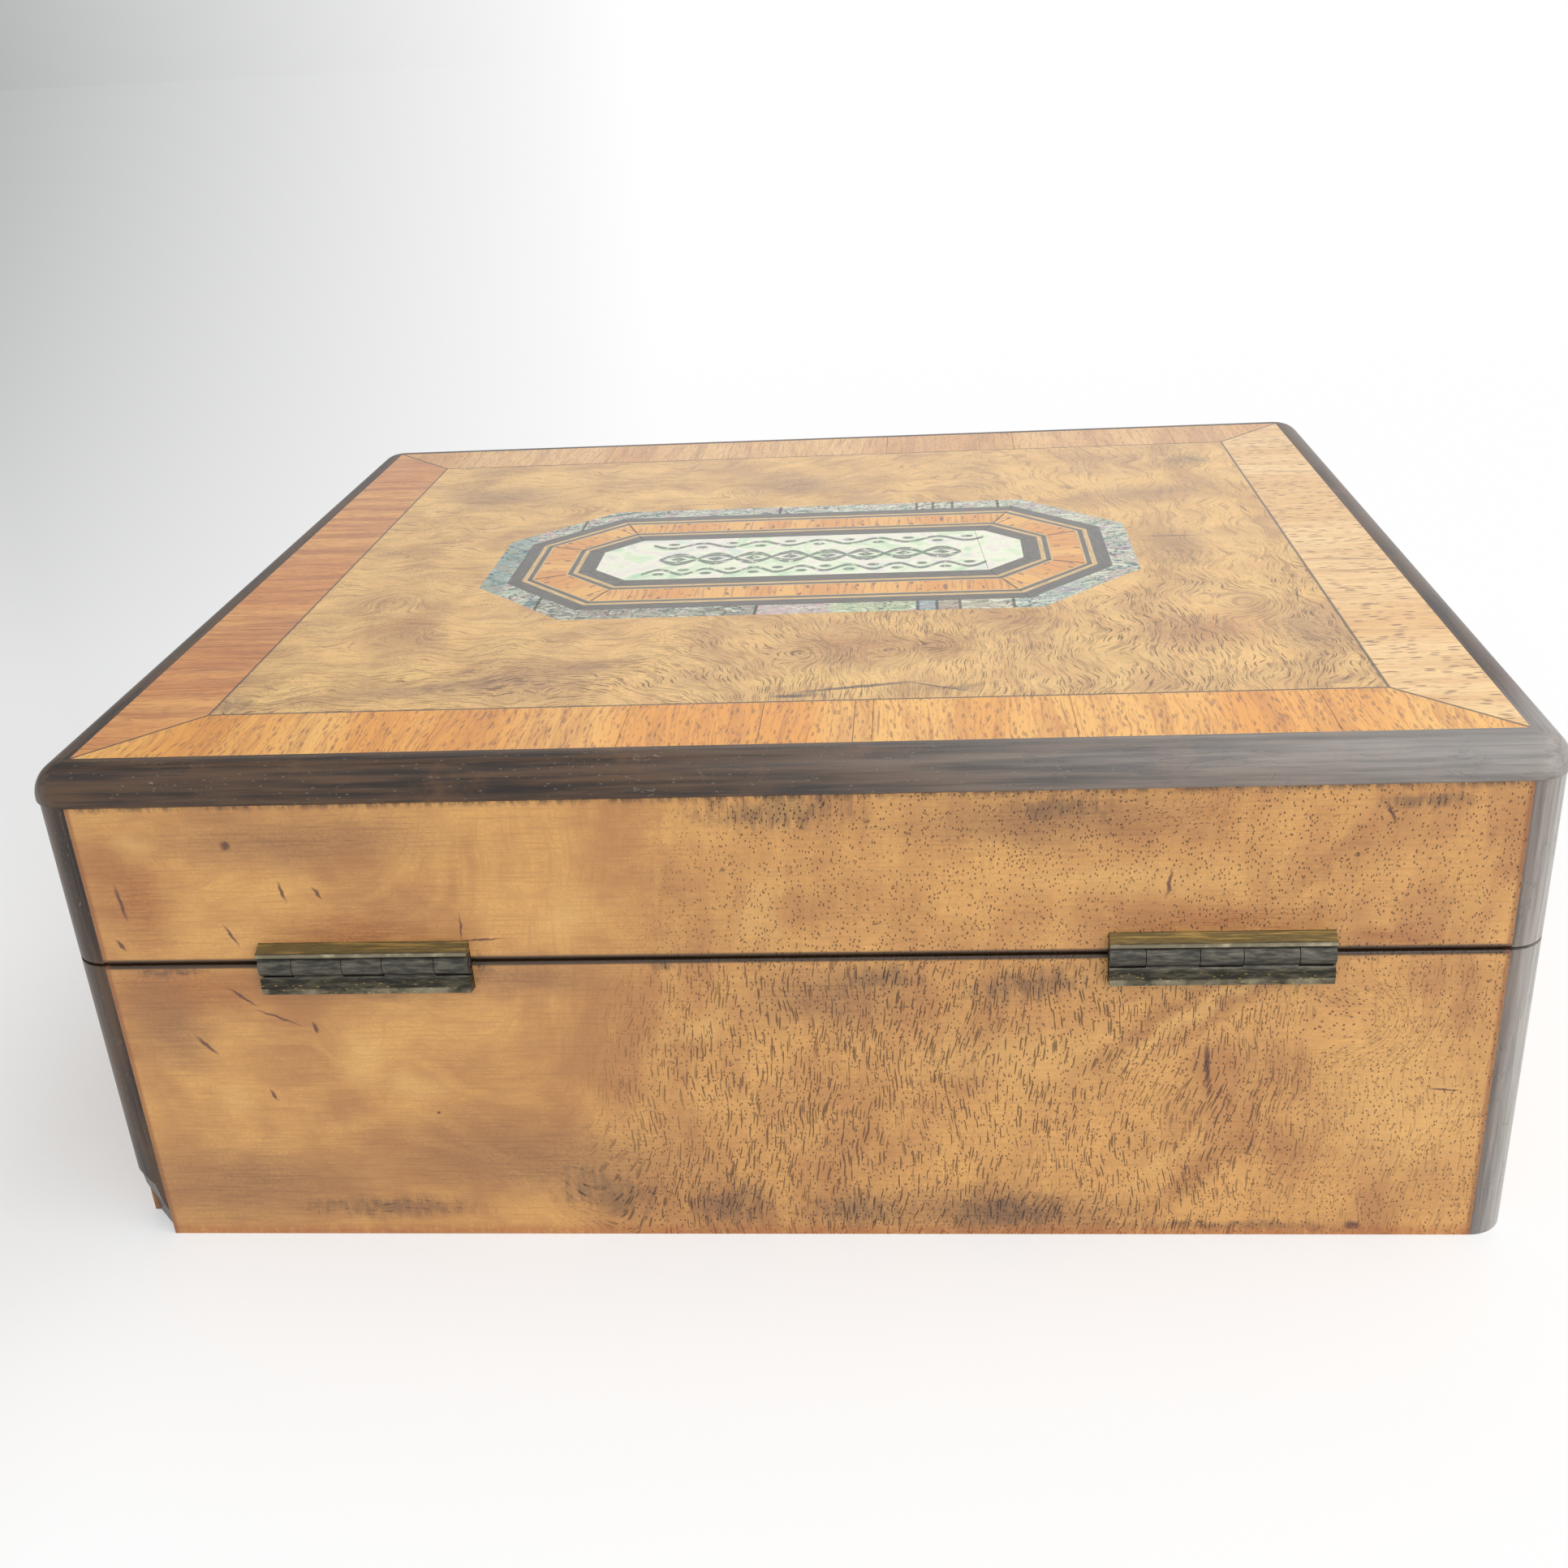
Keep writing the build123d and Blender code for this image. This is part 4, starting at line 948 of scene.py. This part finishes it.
def boardWood(name, grain):
    f = Finish(name)
    x, y, z = f.place()
    point = f.vector(x, y, z)
    along, across = (x, y) if grain == "x" else (y, x)
    height = across + f.noise(point, 0.03, 2.0, 0.5) * 14.0
    rings = f.noise(f.vector(height * 0.5, z * 0.5, along * 0.012), 1.0, 3.0, 0.6)
    colour = f.blend(rings.rise(0.38, 0.62), board["tone"], board["pale"])
    pores = f.flecks(f.vector(across * 2.0, z * 2.0, along * 0.3), 0.26)
    colour = f.blend(pores * 0.6, colour, board["pore"])
    dirt = f.noise(point, 0.05, 3.0, 0.6).rise(0.5, 0.72)
    colour = f.blend(dirt * 0.45, colour, board["dirt"])
    roughness = 0.6 + rings * 0.2
    return f.finishWith(colour, roughness, f.relief(rings - pores, 0.1 * mm))


def dressBoards():
    long = boardWood("boardAlongX", "x")
    short = boardWood("boardAlongY", "y")
    for name in cadNodes:
        if name.endswith("_board"):
            dress(short if "left" in name or "right" in name else long, name)


dressWalnut()
for node, look in crossbands.items():
    dress(crossbandVeneer(node + "Veneer", look), node)
dressEdging()
dressInlay()
dressMetal()
dressBoards()
print("wood, shell and metal finishes are on")


# Silk, woven fine, with a soft sheen. A quilted piece also shows its stitches, this many to
# the side of a diamond. Sizes are in millimetres.
silk = {
    "sheen": {"Sheen Weight": 0.35, "Sheen Roughness": 0.4},
    "thread": 0.28,
    "stitches": 11,
    "stitchLine": (0.16, 0.3),
    "tone": (0.17, 0.28, 0.43),
    "faded": (0.25, 0.36, 0.50),
    "slub": (0.50, 0.60, 0.68),
    "stitch": (0.50, 0.58, 0.64),
}


# How many stitched lines a point is past, in each of their two directions
def acrossDiamonds(look, x, y):
    (halfX, halfY), (wide, deep) = look["half"], look["step"]
    overX, overY = (x + halfX) / wide, (y + halfY) / deep
    return overX + overY, overX - overY


def silkFinish(name, quilt=None):
    f = Finish(name, **silk["sheen"])
    x, y, z = f.place()
    step = silk["thread"]
    weave = (x.repeat(step) + y.repeat(step) + z.repeat(step)) * (0.8 / step)
    fade = f.noise(f.vector(x, y, z), 0.014, 2.0, 0.5).rise(0.35, 0.7)
    slub = f.noise(f.vector(x * 0.15, y * 2.2, z * 2.2), 1.0, 2.0, 0.6)
    colour = f.blend(fade, silk["tone"], silk["faded"])
    colour = f.blend(slub.rise(0.5, 0.75) * 0.3, colour, silk["slub"])
    height = weave + slub
    if quilt:
        wide, deep = quilt["step"]
        apart = 1 / math.hypot(1 / wide, 1 / deep)
        first, second = acrossDiamonds(quilt, x, y)
        for across, along in ((first, second), (second, first)):
            stitch = (across.repeat(1.0) * apart).fall(*silk["stitchLine"])
            dash = along.repeat(1 / silk["stitches"]) * (2 * silk["stitches"])
            stitch = stitch * dash.fall(0.6, 0.75)
            colour = f.blend(stitch * 0.8, colour, silk["stitch"])
            height = height + stitch * 2.0
    roughness = 0.42 + weave * 0.15
    return f.finishWith(colour, roughness, f.relief(height, 0.05 * mm))


# Quilted pads. Sizes are in millimetres: the number of diamonds each way, the cells across
# each, how thick the pad starts, how far the silk may swell, and how deep its stitches pull.
floorQuilt = {
    "name": "silkFloorPad", "node": "base_floor_pad", "body": "base", "shows": 1,
    "diamonds": (7, 6), "cells": 14, "thick": 2.3, "ease": -0.022,
    "swell": 1.6, "stitch": 0.55, "rim": 2.2, "fill": 0.5,
}
lidQuilt = {
    "name": "silkLidPad", "node": "lid_pad", "body": "lid", "shows": -1,
    "diamonds": (5, 4), "cells": 20, "thick": 3.2, "ease": -0.035,
    "swell": 3.1, "stitch": 0.9, "rim": 3.0, "fill": 0.7,
}
# What both pads share: how far they stand in from the node's sides, how thick their rim is,
# how wide a band of it is held, and how near counts as touching
quilting = {
    "inset": 0.1, "rimShare": 0.2, "heldBand": 1.2, "touching": 0.01, "onLine": 0.01,
    "quickDome": 0.8,
}
cloth = {"quality": 6, "mass": 0.3, "pressure": 300.0, "frames": 20}
clearance = 0.06 * mm


def select(piece):
    bpy.ops.object.select_all(action="DESELECT")
    piece.select_set(True)
    bpy.context.view_layer.objects.active = piece


# A slab with a fine grid over it
def gridSlab(name, columns, rows, thick):
    bpy.ops.object.select_all(action="DESELECT")
    bpy.ops.mesh.primitive_grid_add(x_subdivisions=columns, y_subdivisions=rows, size=1)
    slab = bpy.context.object
    slab.name = name
    bpy.ops.object.mode_set(mode="EDIT")
    bpy.ops.mesh.select_all(action="SELECT")
    bpy.ops.mesh.extrude_region_move(TRANSFORM_OT_translate={"value": (0, 0, thick)})
    bpy.ops.object.mode_set(mode="OBJECT")
    return slab


def faceOutwards(piece):
    select(piece)
    bpy.ops.object.mode_set(mode="EDIT")
    bpy.ops.mesh.select_all(action="SELECT")
    bpy.ops.mesh.normals_make_consistent(inside=False)
    bpy.ops.object.mode_set(mode="OBJECT")
    bpy.ops.object.shade_smooth_by_angle(angle=math.radians(50))


# Where a point lies among the diamonds: 0 on a stitched line and 0.5 midway between two
def amongDiamonds(look, x, y):
    return [abs(value - round(value)) for value in acrossDiamonds(look, x, y)]


def makePad(look):
    low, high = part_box(look["node"])
    inset, touching = quilting["inset"], quilting["touching"] * mm
    look["half"] = [(high[i] - low[i]) / 2 * perMm - inset for i in (0, 1)]
    look["step"] = [2 * half / count for half, count in zip(look["half"], look["diamonds"])]
    shows = look["shows"]
    behind = low.z + clearance if shows > 0 else high.z - clearance
    columns, rows = [count * look["cells"] for count in look["diamonds"]]
    pad = gridSlab(look["name"], columns, rows, 1.0)
    halfX, halfY = look["half"]
    for vertex in pad.data.vertices:
        x, y = vertex.co.x * 2 * halfX, vertex.co.y * 2 * halfY
        inward = min(halfX - abs(x), halfY - abs(y), look["rim"]) / look["rim"]
        rise = math.sqrt(1 - (1 - inward) ** 2)
        rounded = rise * (1 - quilting["rimShare"]) + quilting["rimShare"]
        up = look["thick"] * rounded if vertex.co.z > 0.5 else 0.0
        vertex.co = Vector((x * mm, y * mm, behind + shows * up * mm))
    faceOutwards(pad)
    start = [vertex.co.copy() for vertex in pad.data.vertices]
    among = [amongDiamonds(look, c.x * perMm, c.y * perMm) for c in start]
    stitched = [min(pair) < quilting["onLine"] for pair in among]
    band = quilting["heldBand"]
    edges = [max(abs(c.x) * perMm - halfX, abs(c.y) * perMm - halfY) > -band for c in start]
    held = [abs(c.z - behind) < touching or s or e for c, s, e in zip(start, stitched, edges)]
    swellCloth(pad, look, [i for i, still in enumerate(held) if still])
    bottom, top = low.z + clearance, high.z - clearance
    farthest = look["swell"] * mm
    for vertex, was, sewn, edge in zip(pad.data.vertices, start, stitched, edges):
        moved = vertex.co - was
        if moved.length > farthest:
            moved *= farthest / moved.length
        vertex.co = was + moved
        if sewn and not edge and abs(was.z - behind) > touching:
            vertex.co.z -= shows * look["stitch"] * mm
        vertex.co.z = min(max(vertex.co.z, bottom), top)
    finishSilk(pad, look, silkFinish(look["name"] + "Silk", look))


# Air under the silk lifts it between the stitches, where it has a little length to spare
def swellCloth(pad, look, held):
    group = pad.vertex_groups.new(name="held")
    group.add(held, 1.0, "REPLACE")
    swell = pad.modifiers.new("swell", "CLOTH")
    settings = swell.settings
    settings.quality = cloth["quality"]
    settings.mass = cloth["mass"]
    settings.shrink_min = look["ease"]
    settings.use_pressure = True
    settings.uniform_pressure_force = cloth["pressure"]
    settings.vertex_group_mass = group.name
    settings.effector_weights.gravity = 0
    swell.collision_settings.use_collision = False
    scene = bpy.context.scene
    for frameNumber in range(1, cloth["frames"] + 1):
        scene.frame_set(frameNumber)
    select(pad)
    bpy.ops.object.modifier_apply(modifier=swell.name)
    scene.frame_set(1)
    pad.vertex_groups.clear()


def finishSilk(piece, look, material):
    piece.data.materials.clear()
    piece.data.materials.append(material)
    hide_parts(look["node"])
    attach(piece, look["body"])


# Gathered silk over the wall cards, in millimetres. Gathers stand this far apart, and the silk
# stands out from the wood between two depths. The gathers stray, first slowly and then
# quickly: each row is a scale along the wall, a scale up it, a place in the noise and a reach.
gathers = {
    "pitch": 4.4, "shallow": 0.28, "deep": 0.9, "hem": 1.8, "behind": 0.05, "least": 0.1,
    "column": 0.65, "row": 1.3,
    "strays": [(0.045, 0.05, 3.0, 5.0), (0.2, 0.12, 7.0, 0.9)],
    "fullness": (0.11, 0.09, 11.0, 0.2),
}
longSpan, shortSpan = (-91.9, 91.9), (-74.85, 74.85)
baseRise, lidRise = (5.1, 45.9), (48.6, 69.6)
# Each panel is (wall, place, span along, span up). The base's front has three, round the lock.
baseWalls = {
    "name": "silkBaseWalls", "node": "base_wall_linings", "body": "base", "fill": 0.3,
    "panels": [
        ("y", 76.0, longSpan, baseRise),
        ("y", -76.0, (-91.9, -20.7), baseRise),
        ("y", -76.0, (20.7, 91.9), baseRise),
        ("y", -76.0, (-20.6, 20.6), (5.1, 26.3)),
        ("x", 92.0, shortSpan, baseRise),
        ("x", -92.0, shortSpan, baseRise),
    ],
}
lidWalls = {
    "name": "silkLidWalls", "node": "lid_wall_linings", "body": "lid", "fill": 0.3,
    "panels": [
        ("y", 76.0, longSpan, lidRise),
        ("y", -76.0, longSpan, lidRise),
        ("x", 92.0, shortSpan, lidRise),
        ("x", -92.0, shortSpan, lidRise),
    ],
}


def unevenness(along, up, scaleAlong, scaleUp, place, reach):
    return noise.noise(Vector((along * scaleAlong, up * scaleUp, place))) * reach


def gatheredDepth(along, up, edge):
    stray = sum(unevenness(along, up, *row) for row in gathers["strays"])
    ridge = abs(math.sin(math.pi * (along + stray) / gathers["pitch"])) ** 0.8
    full = 0.8 + unevenness(along, up, *gathers["fullness"])
    depth = gathers["shallow"] + (gathers["deep"] - gathers["shallow"]) * ridge * full
    hem = min(edge / gathers["hem"], 1.0)
    rolled = math.sin(math.pi * hem) * gathers["deep"]
    return max(depth * max(hem * 2 - 1, 0.0), rolled, gathers["least"])


def makeWalls(look):
    panels = []
    for number, (wall, place, span, height) in enumerate(look["panels"]):
        long, tall = span[1] - span[0], height[1] - height[0]
        columns, rows = round(long / gathers["column"]), round(tall / gathers["row"])
        panel = gridSlab(look["name"] + str(number), columns, rows, 1.0)
        inward = -1 if place > 0 else 1
        for vertex in panel.data.vertices:
            along = span[0] + (vertex.co.x + 0.5) * long
            up = height[0] + (vertex.co.y + 0.5) * tall
            edge = min(along - span[0], span[1] - along, up - height[0], height[1] - up)
            shows = vertex.co.z > 0.5
            depth = gatheredDepth(along, up, edge) if shows else gathers["behind"]
            out = place + inward * depth
            at = (out, along, up) if wall == "x" else (along, out, up)
            vertex.co = Vector(at) * mm
        faceOutwards(panel)
        panels.append(panel)
    bpy.ops.object.select_all(action="DESELECT")
    for panel in panels:
        panel.select_set(True)
    bpy.context.view_layer.objects.active = panels[0]
    bpy.ops.object.join()
    walls = bpy.context.object
    walls.name = look["name"]
    finishSilk(walls, look, silkFinish(look["name"] + "Silk"))


for quilt in (floorQuilt, lidQuilt):
    makePad(quilt)
for walls in (baseWalls, lidWalls):
    makeWalls(walls)
print("silk pads and gathered walls are in")


# The far left of the room is in shade: how grey a place is, from its way out from the camera
room = {
    "from": 0.16,
    "rate": 1.75,
    "darkest": 0.75,
    "grey": (0.19, 0.21, 0.20),
    "white": (1.0, 1.0, 1.0),
}


def roomShade(sideways, away):
    return ((sideways / away - room["from"]) * room["rate"]).most(0.0).least(room["darkest"])


# The floor glows to the camera, less near the box, and least in the shade on its side away
# from the window. Its half size is in metres, and the rest is in millimetres.
floorSetup = {
    "half": 6.0,
    "white": 0.9,
    "roughness": 0.4,
    "eye": (-20.0, 270.0),
    "shadeDistance": 250.0,
    "footprint": (100.0, 84.0),
    "glow": (0.5, 0.45),
    "glowReach": ((-4.0, 90.0), (100.0, 700.0)),
    "leeward": 0.55,
    "leewardX": ((80.0, 130.0), (170.0, 330.0)),
    "leewardY": (-170.0, -60.0),
}


def makeFloor():
    bpy.ops.object.select_all(action="DESELECT")
    bpy.ops.mesh.primitive_plane_add(size=2 * floorSetup["half"], location=(0, 0, 0))
    floor = bpy.context.object
    floor.name = "floor"
    f = Finish("floorPaint", Roughness=floorSetup["roughness"])
    x, y, _ = f.place()
    white = floorSetup["white"]
    f.surface.inputs["Base Color"].default_value = (white, white, white, 1.0)
    beyond = (y * -1).most(0.0)
    eyeX, eyeY = floorSetup["eye"]
    shade = roomShade(x - eyeX, eyeY - y) * (beyond / (beyond + floorSetup["shadeDistance"]))
    colour = f.blend(shade, room["white"], room["grey"])
    glow = f.wire("ShaderNodeEmission", {}, {"Color": colour, "Strength": 1.0})
    halfX, halfY = floorSetup["footprint"]
    clear = (abs(x) - halfX).most(abs(y) - halfY)
    (near, middle), (nearReach, farReach) = floorSetup["glow"], floorSetup["glowReach"]
    weight = near + clear.rise(*nearReach) * middle
    weight = weight + clear.rise(*farReach) * (1 - near - middle)
    (start, full), (wane, end) = floorSetup["leewardX"]
    leeward = x.rise(start, full) * x.fall(wane, end) * y.rise(*floorSetup["leewardY"])
    weight = weight * (1 - leeward * floorSetup["leeward"])
    rays = f.node("ShaderNodeLightPath", {}, {})
    seen = Wire(f, rays.outputs["Is Camera Ray"]).most(Wire(f, rays.outputs["Is Glossy Ray"]))
    surface = Wire(f, f.surface.outputs[0])
    mixed = f.wire("ShaderNodeMixShader", {}, {0: seen * weight, 1: surface, 2: glow})
    f.tree.links.new(mixed.socket, f.output.inputs["Surface"])
    floor.data.materials.append(f.material)


ambient = {"tone": (1.0, 1.0, 1.0, 1.0), "strength": 0.5}


# The room is seen, and mirrored, brighter than it lights the box
def makeWorld():
    world = bpy.data.worlds.new("room")
    bpy.context.scene.world = world
    world.use_nodes = True
    f = Nodes(world.node_tree)
    x, y, _ = f.parts(f.wire("ShaderNodeTexCoord", {}, {}, "Generated"))
    away = y * -1
    shade = roomShade(x, away.most(0.02)) * away.rise(0.0, 0.3)
    tone = f.blend(shade, room["white"], room["grey"])
    seen = f.wire("ShaderNodeBackground", {}, {"Color": tone, "Strength": 1.0})
    sockets = {"Color": ambient["tone"], "Strength": ambient["strength"]}
    soft = f.wire("ShaderNodeBackground", {}, sockets)
    rays = f.node("ShaderNodeLightPath", {}, {})
    kinds = ("Is Camera Ray", "Is Glossy Ray", "Is Transmission Ray")
    first, *others = [Wire(f, rays.outputs[kind]) for kind in kinds]
    both = f.wire("ShaderNodeMixShader", {}, {0: first.most(*others), 1: soft, 2: seen})
    f.node("ShaderNodeOutputWorld", {}, {"Surface": both})


# Wide lamps, so that none burns out the polish where it is mirrored
lamps = {
    "windowRight": {"at": (-0.78, 0.66, 0.55), "size": (1.2, 1.1), "power": 6.5},
    "overhead": {"at": (-0.40, 0.22, 1.0), "size": (1.2, 0.9), "power": 5.9},
}
lampAim = (0.0, 0.0, 0.04)


def makeLamps():
    for name, lamp in lamps.items():
        data = bpy.data.lights.new(name, "AREA")
        data.shape = "RECTANGLE"
        data.size, data.size_y = lamp["size"]
        data.energy = lamp["power"]
        light = bpy.data.objects.new(name, data)
        bpy.context.scene.collection.objects.link(light)
        place = Vector(lamp["at"])
        aim = Vector(lampAim) - place
        light.location = place
        light.rotation_euler = aim.to_track_quat("-Z", "Y").to_euler()


# The camera stands where a fit of the box's corners in the photograph puts it
viewpoint = {
    "at": (-0.019725, 0.270624, 0.164403),
    "ahead": (0.07581, -0.90864, -0.41064),
    "right": (-0.99688, -0.05995, -0.05140),
    "sensor": 36.0,
    "lens": 37.53,
    "shift": (-0.0123, -0.0320),
    "nearest": 0.01,
}


def makeCamera():
    data = bpy.data.cameras.new("camera")
    data.sensor_width = viewpoint["sensor"]
    data.lens = viewpoint["lens"]
    data.shift_x, data.shift_y = viewpoint["shift"]
    data.clip_start = viewpoint["nearest"]
    camera = bpy.data.objects.new("camera", data)
    bpy.context.scene.collection.objects.link(camera)
    ahead = Vector(viewpoint["ahead"]).normalized()
    right = Vector(viewpoint["right"]).normalized()
    up = right.cross(ahead).normalized()
    turn = Matrix((right, up, -ahead)).transposed().to_4x4()
    camera.matrix_world = Matrix.Translation(viewpoint["at"]) @ turn
    bpy.context.scene.camera = camera


makeFloor()
makeWorld()
makeLamps()
makeCamera()
bpy.context.scene.view_settings.view_transform = "Standard"
print("stage, light and camera are set")
